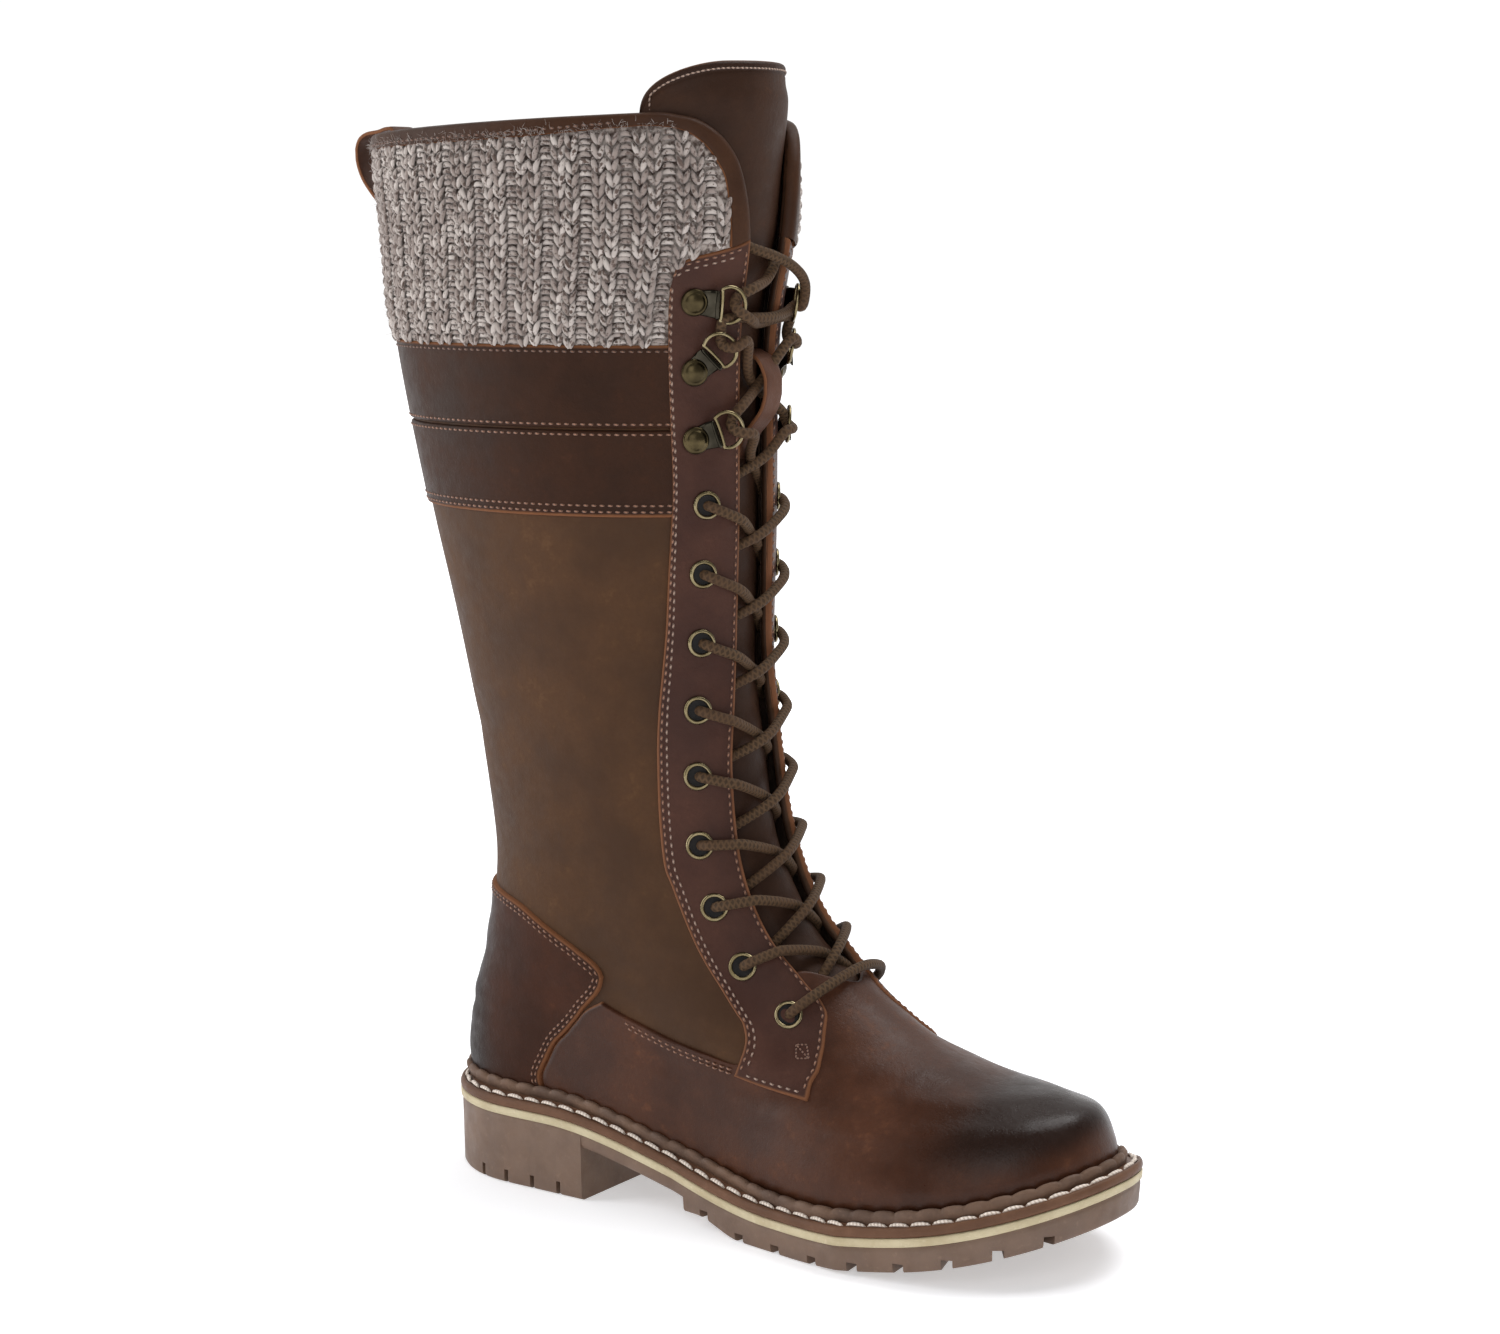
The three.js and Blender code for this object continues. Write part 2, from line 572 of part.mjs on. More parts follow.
// The lace's crossings, from each eyelet over the facings to the next one down on the other side.
// A strand keeps a lift over the form, and where two cross one rides on the other.
function makeLace() {
  const eyeletLift = eyelet.top + 1.3 * gap + lace.radius;
  const places = [
    ...clipPlaces.map(({ ringRow }) => ({ along: 0.938, row: ringRow, lift: 5 })),
    ...eyeletPlaces.map(([along, row]) => ({ along, row, lift: eyeletLift + 0.6 })),
  ];
  const strand = (from, to, sign) => cordSolid(span(0, 1, 6).map((t) => {
    const round = mix(sign < 0 ? from.along : 2 - from.along, sign < 0 ? 2 - to.along : to.along, t);
    const ride = (lace.arch + lace.over * (sign < 0 ? 1 : -1)) * t * (1 - t);
    return grown(round, mix(from.row, to.row, t), mix(from.lift, to.lift, t) + ride);
  }));
  const pairs = places.slice(1).map((lower, i) => [places[i], lower]);
  const strands = pairs.flatMap(([from, to]) => sides.map(({ sign }) => strand(from, to, sign)));
  const foot = places.at(-1);
  return wasm.Manifold.union([...strands, strand(foot, foot, -1)]);
}

// How deep the tongue's face lies under the upper's form: against the vamp and the collar, and
// sunk between them.
const tongueDepth = (row) => wall + 3 * gap
  + tongue.sunk * ramp((row - 5.9) / 1.1) * (1 - ramp((row - 11.9) / 1.1));

// The tongue: a padded sheet behind the throat, wider at its rounded top.
function makeTongue() {
  const columns = span(-1, 1, 12).map((share) => Math.sin((share * Math.PI) / 2));
  const levels = span(0, 1, 12);
  const place = (across, up) => {
    const fall = Math.max(0, Math.abs(across) - tongue.shoulder) / (1 - tongue.shoulder);
    const top = tongue.topRow - tongue.cornerRows * (1 - Math.sqrt(1 - fall ** 2));
    const row = mix(tongue.bottomRow, top, up);
    const half = mix(tongue.halfBelow, tongue.halfAbove, ramp((row - 8) / 5));
    return { round: 1 + across * half, row };
  };
  const grid = (extra) => levels.map((up) => columns.map((across) => {
    const { round, row } = place(across, up);
    return grown(round, row, -tongueDepth(row) - extra);
  }));
  return wallSolid(grid(0), grid(tongue.thick), false);
}

// The loop on the tongue that the lace passes under.
function makeKeeper() {
  const inner = lastPoint(1, 11).x - tongueDepth(11) + gap;
  const line = [...keeper.outer, ...keeper.inner].map(([out, z]) => new THREE.Vector2(inner + out, z));
  return sidePrism(line, keeper.fromY, keeper.fromY + keeper.width);
}

// The pull loop: a strap from inside the collar, over its rim at the back and down onto the cuff.
// The line is its outer face.
function makePullLoop() {
  const rim = lastPoint(0, collarRow);
  const inside = (row) => lastPoint(0, row).add(new THREE.Vector3(wall + 8 * gap + loop.thick, 0, 0));
  const onCuff = lastPoint(0, loop.cuffRow).x - knit - gap - loop.thick;
  const top = rim.z + gap + loop.thick;
  const line = smooth([
    [inside(12.4).x, inside(12.4).z], [inside(12.9).x, inside(12.9).z],
    [rim.x + wall + 2, top - 0.4], [rim.x + 0.6, top + 0.3],
    [rim.x - 9, top + 0.2], [rim.x - 15.6, top - 2.2], [loop.backX, top - 8], [loop.backX + 2.2, top - 17],
    [loop.backX + 8, top - 27], [onCuff - 3, top - 37], [onCuff, lastPoint(0, loop.cuffRow).z],
  ], 2);
  const inner = line.map((p, i) => {
    const before = line[Math.max(i - 1, 0)];
    const after = line[Math.min(i + 1, line.length - 1)];
    const tangent = after.clone().sub(before).normalize();
    return p.clone().add(new THREE.Vector2(-tangent.y, tangent.x).multiplyScalar(loop.thick));
  });
  return sidePrism([...line, ...inner.reverse()], -loop.half, loop.half);
}

const group = new THREE.Group();
group.name = 'knee_high_boot';

function place(name, geometry, material) {
  const mesh = new THREE.Mesh(geometry, material);
  mesh.name = name;
  group.add(mesh);
  return mesh;
}

const placeSolid = (name, solid, material) => place(name, toGeometry(solid), material);

// Sole unit.
placeSolid('outsole', makeOutsole(), materials.rubber);
placeSolid('midsole_stripe', solePlate([
  { grow: 0.2, height: (x) => stripeZ(x) + gap / 2 },
  { grow: 0.2, height: (x) => stripeZ(x) + sole.stripe - gap / 2 },
]), materials.stripe);
placeSolid('welt', solePlate([
  { grow: -0.8, height: (x) => stripeZ(x) + sole.stripe + gap / 2 },
  { grow: 0.5, height: (x) => stripeZ(x) + sole.stripe + 1.4 },
  { grow: 0.5, height: (x) => stripeZ(x) + sole.stripe + 3.2 },
  { grow: -0.9, height: (x) => weltZ(x) - 0.7 },
  { grow: -2.4, height: (x) => weltZ(x) - gap },
]), materials.welt);
placeSolid('storm_strip', makeStormStrip(), materials.strip);
placeSolid('insole', makeInsole(), materials.lining);

// Upper, cut by the throat and the eyelet holes.
const holes = sides.map(({ sign }) => eyeletPlaces.map((at) => eyeletHole(sign, at)));
let upper = formShell(rowsBetween(0, collarRow), 0, -wall).subtract(throatCut);
for (const hole of holes.flat()) {
  upper = upper.subtract(hole);
}
placeSolid('upper', upper, materials.leather);

// Overlays, cut between two growths of the upper's form.
const overStrip = 0.68;
const lowRows = rowsBetween(overStrip, 7.5);
const heelForm = formShell(lowRows, overlay, gap);
const toShape = (points) => points.map(([x, z]) => new THREE.Vector2(x, z));
const counterShape = toShape([...counterEdge, [-60, 30]]);
placeSolid('counter', heelForm.intersect(sidePrism(counterShape, -far, far)), materials.redLeather);

const wingGrow = (p) => overlay - wingThin.by * ramp((p.x - wingThin.from) / wingThin.run);
const wingForm = formShell(lowRows, wingGrow, gap);
const counterFront = counterEdge.slice(7).map(([x, z]) => [x + 1.5 * gap, z - gap]);
const wingFoot = [counterFront.at(-1)[0], 20];
const wingShape = toShape([...wingTop, ...wingFront, wingFoot, ...counterFront.reverse()]);
for (const { name, sign } of sides) {
  const prism = sidePrism(wingShape, sign < 0 ? -far : 1, sign < 0 ? -1 : far);
  placeSolid(`vamp_wing_${name}`, wingForm.intersect(prism), materials.redLeather);
}

const stayForm = formShell(rowsBetween(2.6, 12), overlay, gap);
const stayFront = frontOutline([...throat.slice(5, 12), ...stayTip]);
const staySide = toShape([...stayRear, ...stayCorner, [200, 340.5]]);
// The rear edge again, moved back by the gap, to clear the bands and the cuff.
const stayClear = toShape([...stayRear.map(([x, z]) => [x - gap, z + gap]), [200, 52], [200, 340.5 + gap]]);
sides.forEach(({ name, sign }, index) => {
  const half = sidePrism(staySide, sign < 0 ? -far : 3, sign < 0 ? 3 : far);
  let stay = stayForm.intersect(half).subtract(frontPrism(stayFront, 20, 200));
  for (const hole of holes[index]) {
    stay = stay.subtract(hole);
  }
  placeSolid(`eyestay_${name}`, stay, materials.facing);
});

const stayCut = sidePrism(stayClear, -far, far);
const bands = [
  ['shaft_band_lower', bandRows.bottom, bandRows.seam - bandRows.between],
  ['shaft_band_upper', bandRows.seam + bandRows.between, bandRows.top],
];
for (const [name, from, to] of bands) {
  const band = formShell(rowsBetween(from, to), bandRows.thick, gap);
  placeSolid(name, band.subtract(stayCut), materials.redLeather);
}

// The cuff is bounded by the bands, the facings and the binding.
const cornerCut = frontPrism(frontOutline(cuffCorner), 40, 200);
const cuffForm = formShell(rowsBetween(bandRows.top + 0.01, cuffRows.top), knit, gap);
placeSolid('knit_cuff', cuffForm.subtract(stayCut).subtract(cornerCut), materials.knit);

const cuffKeep = formShell(rowsBetween(11, cuffRows.top + 0.01), 9, -9)
  .subtract(frontPrism(frontOutline(cuffCorner, -gap), 40, 200));
const bindingForm = formShell(rowsBetween(cuffRows.bindingFrom, collarRow), knit - gap, gap);
const binding = bindingForm.subtract(throatCut).subtract(stayCut).subtract(cuffKeep);
placeSolid('collar_binding', binding, materials.redLeather);

// The strip down the back seam, from the lower band to the counter.
const stripBox = box([-100, -backStrip.half, backStrip.bottom], [20, backStrip.half, backStrip.top]);
const stripForm = formShell(rowsBetween(6.9, 10), overlay, gap);
placeSolid('back_strip', stripForm.intersect(stripBox), materials.leather);

placeSolid('tongue', makeTongue(), materials.facing);
placeSolid('tongue_keeper', makeKeeper(), materials.redLeather);
placeSolid('pull_loop', makePullLoop(), materials.redLeather);

// Eyelets, ring clips and rings, nine and three to a side.
for (const { name, sign } of sides) {
  eyeletPlaces.forEach(([along, row], i) => {
    const { position, quaternion } = surfaceFrame(sign, along, row);
    const mesh = place(`eyelet_${name}_${i + 1}`, eyeletGeometry(), materials.brass);
    mesh.position.copy(position);
    mesh.quaternion.copy(quaternion);
  });
  clipPlaces.forEach(({ along, row, turn, ringAlong, ringRow }, i) => {
    const seats = [
      ['clip', clipGeometry(), surfaceFrame(sign, along, row, turn)],
      ['ring', ringGeometry(), surfaceFrame(sign, ringAlong, ringRow, turn)],
    ];
    for (const [part, geometry, { position, quaternion }] of seats) {
      const mesh = place(`lace_${part}_${name}_${i + 1}`, geometry, materials.brass);
      mesh.position.copy(position);
      mesh.quaternion.copy(quaternion);
    }
  });
}
placeSolid('lace_crossings', makeLace(), materials.lace);

export default group;
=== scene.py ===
import math

import bmesh
import bpy
import numpy as np
from mathutils import Matrix


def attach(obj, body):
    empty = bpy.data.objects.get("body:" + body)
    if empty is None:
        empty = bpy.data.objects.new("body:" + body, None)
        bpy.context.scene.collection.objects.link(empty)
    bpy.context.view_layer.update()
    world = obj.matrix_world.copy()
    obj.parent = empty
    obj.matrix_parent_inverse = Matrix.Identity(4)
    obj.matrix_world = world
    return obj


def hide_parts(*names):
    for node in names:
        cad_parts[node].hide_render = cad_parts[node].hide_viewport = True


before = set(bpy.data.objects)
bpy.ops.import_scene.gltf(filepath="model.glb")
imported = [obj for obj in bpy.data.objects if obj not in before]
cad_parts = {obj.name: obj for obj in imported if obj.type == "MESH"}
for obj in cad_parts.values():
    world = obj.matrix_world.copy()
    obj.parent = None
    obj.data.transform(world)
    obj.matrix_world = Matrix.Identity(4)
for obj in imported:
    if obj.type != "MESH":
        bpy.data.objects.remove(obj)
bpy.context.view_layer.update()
mm = 0.001
random = np.random.default_rng(7)

# Camera
photo = {"width": 1500, "focal": 3004.84, "sensor": 36}
view = {"ahead": 60, "azimuth": 34.056, "elevation": 8.354, "distance": 1084.86, "roll": -0.183, "side": 24.5,
        "height": 194.5}


def makeCamera():
    # Back, level and rise come from azimuth and elevation; the roll turns level and rise about back.
    a, e, r = (math.radians(view[k]) for k in ("azimuth", "elevation", "roll"))
    back = np.array([math.sin(a) * math.cos(e), -math.cos(a) * math.cos(e), math.sin(e)])
    level = np.array([math.cos(a), math.sin(a), 0])
    rise = np.cross(back, level)
    right = level * math.cos(r) + rise * math.sin(r)
    up = rise * math.cos(r) - level * math.sin(r)
    target = np.array([view["ahead"] + view["side"] * math.cos(a), view["side"] * math.sin(a), view["height"]])
    place = (target + back * view["distance"]) * mm
    data = bpy.data.cameras.new("camera")
    data.sensor_width = photo["sensor"]
    data.lens = photo["sensor"] * photo["focal"] / photo["width"]
    data.clip_start, data.clip_end = 0.01, 50
    camera = bpy.data.objects.new("camera", data)
    bpy.context.scene.collection.objects.link(camera)
    camera.matrix_world = Matrix([[right[i], up[i], back[i], place[i]] for i in range(3)] + [[0, 0, 0, 1]])
    bpy.context.scene.camera = camera


makeCamera()

# The upper's form, as in the part's source
formNames = ["backX", "backZ", "frontX", "frontY", "frontZ", "heel", "waistOut", "waistIn",
             "ballOut", "ballIn", "backReach", "frontReach", "follow"]
formRows = np.array([
    [-33, 34.2, 231.5, 6, 35.3, 27, 31.5, 26, 47, 41, 0.16, 0.24, 1],
    [-34, 44, 230, 6, 44, 29, 33, 28, 48.5, 43, 0.17, 0.25, 0.9],
    [-33, 53, 225, 6, 54, 30, 33.5, 30, 45, 42, 0.18, 0.32, 0.7],
    [-31.5, 61, 212, 6, 58, 30.5, 33.5, 31.5, 41, 39, 0.19, 0.5, 0.5],
    [-29.5, 69, 185.5, 6, 61, 31, 34, 32.5, 41, 39, 0.21, 0.55, 0.3],
    [-26, 79, 157, 5, 70.5, 31, 34.5, 33, 39, 38, 0.24, 0.55, 0.15],
    [-23, 92, 135, 4, 86, 31.5, 34.5, 34, 36.5, 36, 0.28, 0.5, 0],
    [-21.1, 109, 114.5, 2, 109.5, 32.5, 34.5, 34.5, 35, 35, 0.36, 0.5, 0],
    [-21.8, 140, 100.5, 1, 142, 36, 36.3, 36.3, 36.3, 36.3, 0.48, 0.5, 0],
    [-30.8, 195, 92.8, 0, 195, 42.6, 42.6, 42.6, 42.6, 42.6, 0.5, 0.5, 0],
    [-45.6, 255, 92.5, 0, 255, 48.4, 48.4, 48.4, 48.4, 48.4, 0.5, 0.5, 0],
    [-58.5, 312, 93.5, 0, 312, 51.6, 51.6, 51.6, 51.6, 51.6, 0.5, 0.5, 0],
    [-62.5, 352, 100.2, 0, 352, 53, 53, 53, 53, 53, 0.5, 0.5, 0],
    [-67.9, 385, 101.7, 0, 391, 53.6, 53.6, 53.6, 53.6, 53.6, 0.5, 0.5, 0],
    [-70.5, 404, 102.6, 0, 412, 54, 54, 54, 54, 54, 0.5, 0.5, 0],
])
lastRow = len(formRows) - 1
collarRow = 13
wall = 2.6
thickness = {"overlay": 1.5, "band": 1.3}
sunk = 0.5  # how far an overlay's edge reaches into what it lies on


def mix(a, b, t):
    # The straight blend from a to b.
    return a + (b - a) * t


def ramp(value):
    # Zero below 0, one above 1, and between them the cubic with level ends.
    u = np.clip(value, 0, 1)
    return u * u * (3 - 2 * u)


# Heights along the sole, in x: the toe's rise, the cream stripe's underside and the welt's top.
def toeRise(x):
    # The square of the way past the ball.
    return 21 * np.clip((x - 134) / 105, 0, 1) ** 2


def stripeZ(x):
    # A ramp down from heel to ball, plus the toe's rise.
    return mix(26.5, 9.5, ramp((x - 20) / 106)) + toeRise(x)


def weltZ(x):
    # The stripe's underside plus stripe and welt.
    return stripeZ(x) + 7.4


def treadZ(x):
    # The toe's rise, with a ramp up into the arch.
    return toeRise(x) + 5 * ramp((112 - x) / 22)


def formValues(row):
    # Cubic pieces through the rows, with slopes taken from each row's neighbours.
    v = np.clip(row, 0, lastRow)
    i = np.minimum(np.floor(v).astype(int), lastRow - 1)
    u = (v - i)[..., None]
    start, end = formRows[i], formRows[i + 1]
    before, after = formRows[np.maximum(i - 1, 0)], formRows[np.minimum(i + 2, lastRow)]
    inner = i[..., None]
    slopeIn = np.where(inner > 0, (end - before) / 2, end - start)
    slopeOut = np.where(inner < lastRow - 1, (after - start) / 2, end - start)
    value = ((2 * u ** 3 - 3 * u ** 2 + 1) * start + (u ** 3 - 2 * u ** 2 + u) * slopeIn
             + (3 * u ** 2 - 2 * u ** 3) * end + (u ** 3 - u ** 2) * slopeOut)
    return dict(zip(formNames, np.moveaxis(value, -1, 0)))


def endRound(share, reach):
    # A quarter ellipse that rises from 0 at the end to 1 at the reach.
    return np.sqrt(1 - np.clip(1 - share / reach, 0, 1) ** 2)


def formPoint(turn, row):
    # A ring runs from its back point (turn 0) along the outer side to its front (1); a negative
    # turn is on the inner side. Half widths blend from heel to waist to ball and round off at both ends.
    turn, row = np.broadcast_arrays(np.asarray(turn, float), np.asarray(row, float))
    turn = (turn + 1) % 2 - 1
    outer = turn >= 0
    g = formValues(row)
    t = (1 - np.cos(np.pi * np.abs(turn))) / 2
    waist = np.where(outer, g["waistOut"], g["waistIn"])
    ball = np.where(outer, g["ballOut"], g["ballIn"])
    half = (g["heel"] + (waist - g["heel"]) * ramp((t - 0.14) / 0.28) + (ball - waist) * ramp((t - 0.42) / 0.3))
    x = mix(g["backX"], g["frontX"], t)
    side = np.where(outer, -1, 1)
    y = g["frontY"] * t + side * half * endRound(t, g["backReach"]) * endRound(1 - t, g["frontReach"])
    chord = mix(weltZ(g["backX"]), weltZ(g["frontX"]), t)
    z = mix(g["backZ"], g["frontZ"], t) + g["follow"] * (weltZ(x) - chord)
    return np.stack([x, y, z], -1)


def unit(v):
    # A direction of length one.
    return v / np.maximum(np.linalg.norm(v, axis=-1, keepdims=True), 1e-9)


def formNormal(turn, row):
    # The cross product of the steps round and up, laid level at the feather line and the collar.
    step = 0.004
    across = formPoint(turn + step, row) - formPoint(turn - step, row)
    up = formPoint(turn, np.minimum(row + step, lastRow)) - formPoint(turn, np.maximum(row - step, 0))
    normal = unit(np.cross(across, up))
    normal[..., 2] *= ramp(row) * (1 - ramp(row - collarRow + 1))
    return unit(normal)


def relief(turn, row):
    # Soft creases of worn leather: a few slanted troughs over the ankle and slow waves elsewhere.
    side = np.abs(turn)
    waves = 0.25 * np.sin(9 * side + 2.1 * row) * np.sin(3.7 * row - 5 * side)
    waves = waves + 0.16 * np.sin(17 * side - 3.3 * row + 1)
    total = waves * ramp((row - 1.2) / 2) * (1 - ramp((row - 9) / 1))
    for centre, slant, width, depth, low, high in creases:
        distance = (row - centre - slant * (side - 0.6)) / width
        total = total - depth * np.exp(-distance ** 2) * ramp((side - low) / 0.12) * ramp((high - side) / 0.12)
    return total


# Creases: ring row at turn 0.6, slant in rows per turn, width in rows, depth in mm, first and last turn.
creases = [
    (6.35, 1.6, 0.16, 0.55, 0.30, 0.70),
    (7.25, 1.1, 0.13, 0.5, 0.12, 0.62),
    (7.85, 0.5, 0.10, 0.35, 0.20, 0.60),
    (8.4, -0.4, 0.10, 0.3, 0.05, 0.5),
    (5.55, 2.2, 0.2, 0.4, 0.42, 0.68),
]


def raised(turn, row, height):
    # The form moved out along its normal by a height and the relief.
    turn, row, height = np.broadcast_arrays(turn, row, height)
    return formPoint(turn, row) + formNormal(turn, row) * (height + relief(turn, row))[..., None]


# Meshes
def quads(rows, columns, closed=False, first=0):
    # Faces of a grid of points, row by row; a closed grid joins its last column to its first.
    i = np.arange(rows - 1)[:, None]
    j = np.arange(columns if closed else columns - 1)[None, :]
    k = (j + 1) % columns
    a, b = i * columns + j, i * columns + k
    return first + np.stack([a, b, b + columns, a + columns], -1).reshape(-1, 4)


def copies(rows, sides, count):
    # Faces of many small tubes of one make, each numbered after the one before.
    one = quads(rows, sides, closed=True)
    return (one[None] + (np.arange(count) * rows * sides)[:, None, None]).reshape(-1, 4)


def circle(sides):
    # Angles at even steps round a circle.
    return 2 * np.pi * np.arange(sides) / sides


def around(aside, up, angle, flat=1.0):
    # A circle across a line: the cosine of each angle steps aside, its sine steps up.
    return np.cos(angle)[:, None] * aside[..., None, :] + flat * np.sin(angle)[:, None] * up[..., None, :]


def piece(name, points, faces, material, slot, replaces=(), values=None):
    # A mesh from its points in mm, faces and point values, declared on the one body.
    mesh = bpy.data.meshes.new(name)
    points = np.asarray(points, float).reshape(-1, 3)
    faces = np.asarray(faces)
    mesh.vertices.add(len(points))
    mesh.vertices.foreach_set("co", (points * mm).astype(np.float32).ravel())
    mesh.loops.add(faces.size)
    mesh.loops.foreach_set("vertex_index", faces.astype(np.int32).ravel())
    mesh.polygons.add(len(faces))
    mesh.polygons.foreach_set("loop_start", np.arange(0, faces.size, faces.shape[1], dtype=np.int32))
    mesh.update(calc_edges=True)
    mesh.validate()
    for key, value in (values or {}).items():
        attribute = mesh.attributes.new(key, "FLOAT", "POINT")
        attribute.data.foreach_set("value", np.broadcast_to(value, len(points)).astype(np.float32).ravel())
    mesh.shade_smooth()
    mesh.materials.append(material)
    made = bpy.data.objects.new(name, mesh)
    bpy.context.scene.collection.objects.link(made)
    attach(made, "root")
    if replaces:
        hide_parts(*replaces)
    return made


def curve(points, count):
    # Points spread evenly over a smooth line through the given ones.
    p = np.asarray(points, float)
    if len(p) > 2:
        q = np.vstack([2 * p[0] - p[1], p, 2 * p[-1] - p[-2]])
        u = np.linspace(0, 1, 12, endpoint=False)[:, None]
        pieces = []
        for i in range(1, len(q) - 2):
            a, b, c, d = q[i - 1], q[i], q[i + 1], q[i + 2]
            pieces.append(b + 0.5 * u * (c - a + u * (2 * a - 5 * b + 4 * c - d + u * (3 * (b - c) + d - a))))
        p = np.vstack(pieces + [p[-1:]])
    return resample(p, np.linspace(0, 1, count))


def travelled(points):
    # The sum of the straight steps from a line's first point to each of its points.
    return np.concatenate([[0], np.cumsum(np.linalg.norm(np.diff(points, axis=0), axis=1))])


def length(p):
    # Distance run along a line; a line in turn and row is measured on the form.
    return travelled(formPoint(p[:, 0], p[:, 1]) if p.shape[1] == 2 else p)


def pointsAt(line, run, at):
    # Points of a line at distances along it.
    return np.stack([np.interp(at, run, line[:, k]) for k in range(line.shape[1])], -1)


def resample(p, shares):
    # Points of a line at shares of its length.
    run = length(p)
    return pointsAt(p, run, shares * run[-1])


def edgeShares(distance, count, steps=(0, 0.18, 0.45, 0.8, 1.3, 2.0)):
    # Shares along a width: close together at both ends, even between.
    ends = np.array(steps) / distance
    middle = np.linspace(ends[-1], 1 - ends[-1], max(count - 2 * len(steps) + 2, 2))
    return np.concatenate([ends[:-1], middle, 1 - ends[:-1][::-1]])


def spanned(bottom, top, left, right, u, v):
    # Each point is the sum of the two straight blends between facing lines, less the blend of the
    # four corners.
    across, up = u[None, :, None], v[:, None, None]
    return (mix(bottom[None], top[None], up) + mix(left[:, None], right[:, None], across)
            - mix(mix(bottom[0], bottom[-1], across), mix(top[0], top[-1], across), up))


def patch(bottom, right, top, left, columns, rows):
    # A patch between four lines in turn and row, closer at its edges.
    wide = length(curve(bottom, 40))[-1], length(curve(top, 40))[-1]
    tall = length(curve(left, 60))[-1], length(curve(right, 60))[-1]
    u = edgeShares(max(min(wide), 8), columns)
    v = edgeShares(max(min(tall), 8), rows)
    def line(points, shares):
        return resample(curve(points, 200), shares)
    grid = spanned(line(bottom, u), line(top, u), line(left, v), line(right, v), u, v)
    return grid[..., 0], grid[..., 1]


def edgeDistance(points, sides):
    # Distance in mm of each grid point from the named sides, measured along the grid.
    rows, columns = points.shape[:2]
    stepX = np.linalg.norm(np.diff(points, axis=1), axis=-1)
    stepY = np.linalg.norm(np.diff(points, axis=0), axis=-1)
    fromLeft = np.concatenate([np.zeros((rows, 1)), np.cumsum(stepX, 1)], 1)
    fromBottom = np.concatenate([np.zeros((1, columns)), np.cumsum(stepY, 0)], 0)
    measured = {"left": fromLeft, "right": fromLeft[:, -1:] - fromLeft,
                "bottom": fromBottom, "top": fromBottom[-1:] - fromBottom}
    found = np.full((rows, columns), 99.0)
    for side in sides:
        found = np.minimum(found, measured[side])
    return found


def overlay(name, turn, row, height, material, slot, replaces=(), edges=("left", "right", "bottom", "top"),
            values=None, edgeRadius=0.9, raw=None):
    # A leather piece laid on the form: its face rises from its edges by a quarter round. Raw names
    # the edges left unpainted, all of them when not given.
    flat = formPoint(turn, row)
    edge = edgeDistance(flat, edges)
    lift = np.sqrt(1 - (1 - np.clip(edge / edgeRadius, 0, 1)) ** 2)
    points = raised(turn, row, -sunk + (height + sunk) * lift)
    extra = {key: value(turn, row, points).ravel() if callable(value) else value
             for key, value in (values or {}).items()}
    bare = edge if raw is None else edgeDistance(flat, raw)
    return piece(name, points, quads(*turn.shape), material, slot, replaces, {"edge": bare.ravel(), **extra})


# Materials
def linear(red, green, blue):
    # A colour from its eight-bit sRGB values.
    c = np.array([red, green, blue]) / 255
    return (*np.where(c <= 0.04045, c / 12.92, ((c + 0.055) / 1.055) ** 2.4).tolist(), 1.0)


class Nodes:
    # A material under construction; each call adds a node and links or sets its inputs.

    def __init__(self, name):
        self.material = bpy.data.materials.new(name)
        self.material.use_nodes = True
        self.tree = self.material.node_tree
        self.tree.nodes.clear()
        self.place = self.add("TexCoord").outputs["Object"]

    def add(self, kind, inputs=None, **settings):
        node = self.tree.nodes.new("ShaderNode" + kind)
        for key, value in settings.items():
            setattr(node, key, value)
        for key, value in (inputs or {}).items():
            if isinstance(value, bpy.types.NodeSocket):
                self.tree.links.new(value, node.inputs[key])
            else:
                node.inputs[key].default_value = value
        return node

    def noise(self, size, detail=3.0, rough=0.55, vector=None):
        # Noise whose features are about this many mm across.
        inputs = {"Vector": vector or self.place, "Scale": 1000 / size, "Detail": detail, "Roughness": rough}
        return self.add("TexNoise", inputs).outputs["Fac"]

    def math(self, operation, a, b=0.0, c=0.0):
        return self.add("Math", {0: a, 1: b, 2: c}, operation=operation).outputs[0]

    def remap(self, value, low, high, toLow=0.0, toHigh=1.0):
        inputs = {"Value": value, "From Min": low, "From Max": high, "To Min": toLow, "To Max": toHigh}
        return self.add("MapRange", inputs, interpolation_type="SMOOTHSTEP").outputs[0]

    def value(self, name):
        return self.add("Attribute", attribute_name=name).outputs["Fac"]

    def blend(self, share, a, b, mode="MIX"):
        return self.add("Mix", {0: share, 6: a, 7: b}, data_type="RGBA", blend_type=mode).outputs[2]

    def bump(self, height, distance, normal=None, strength=1.0):
        inputs = {"Height": height, "Distance": distance * mm, "Strength": strength}
        if normal is not None:
            inputs["Normal"] = normal
        return self.add("Bump", inputs).outputs[0]

    def finish(self, colour, roughness, normal=None, **sockets):
        inputs = {"Base Color": colour, "Roughness": roughness, **{k.replace("_", " "): v for k, v in sockets.items()}}
        if normal is not None:
            inputs["Normal"] = normal
        shader = self.add("BsdfPrincipled", inputs)
        self.tree.links.new(shader.outputs[0], self.add("OutputMaterial").inputs[0])
        return self.material


tanEdge = linear(122, 79, 52)
rawEdge = 0.9 * 0.6, 0.9 * 1.9  # the tan edge is full up to the first distance and gone at the second


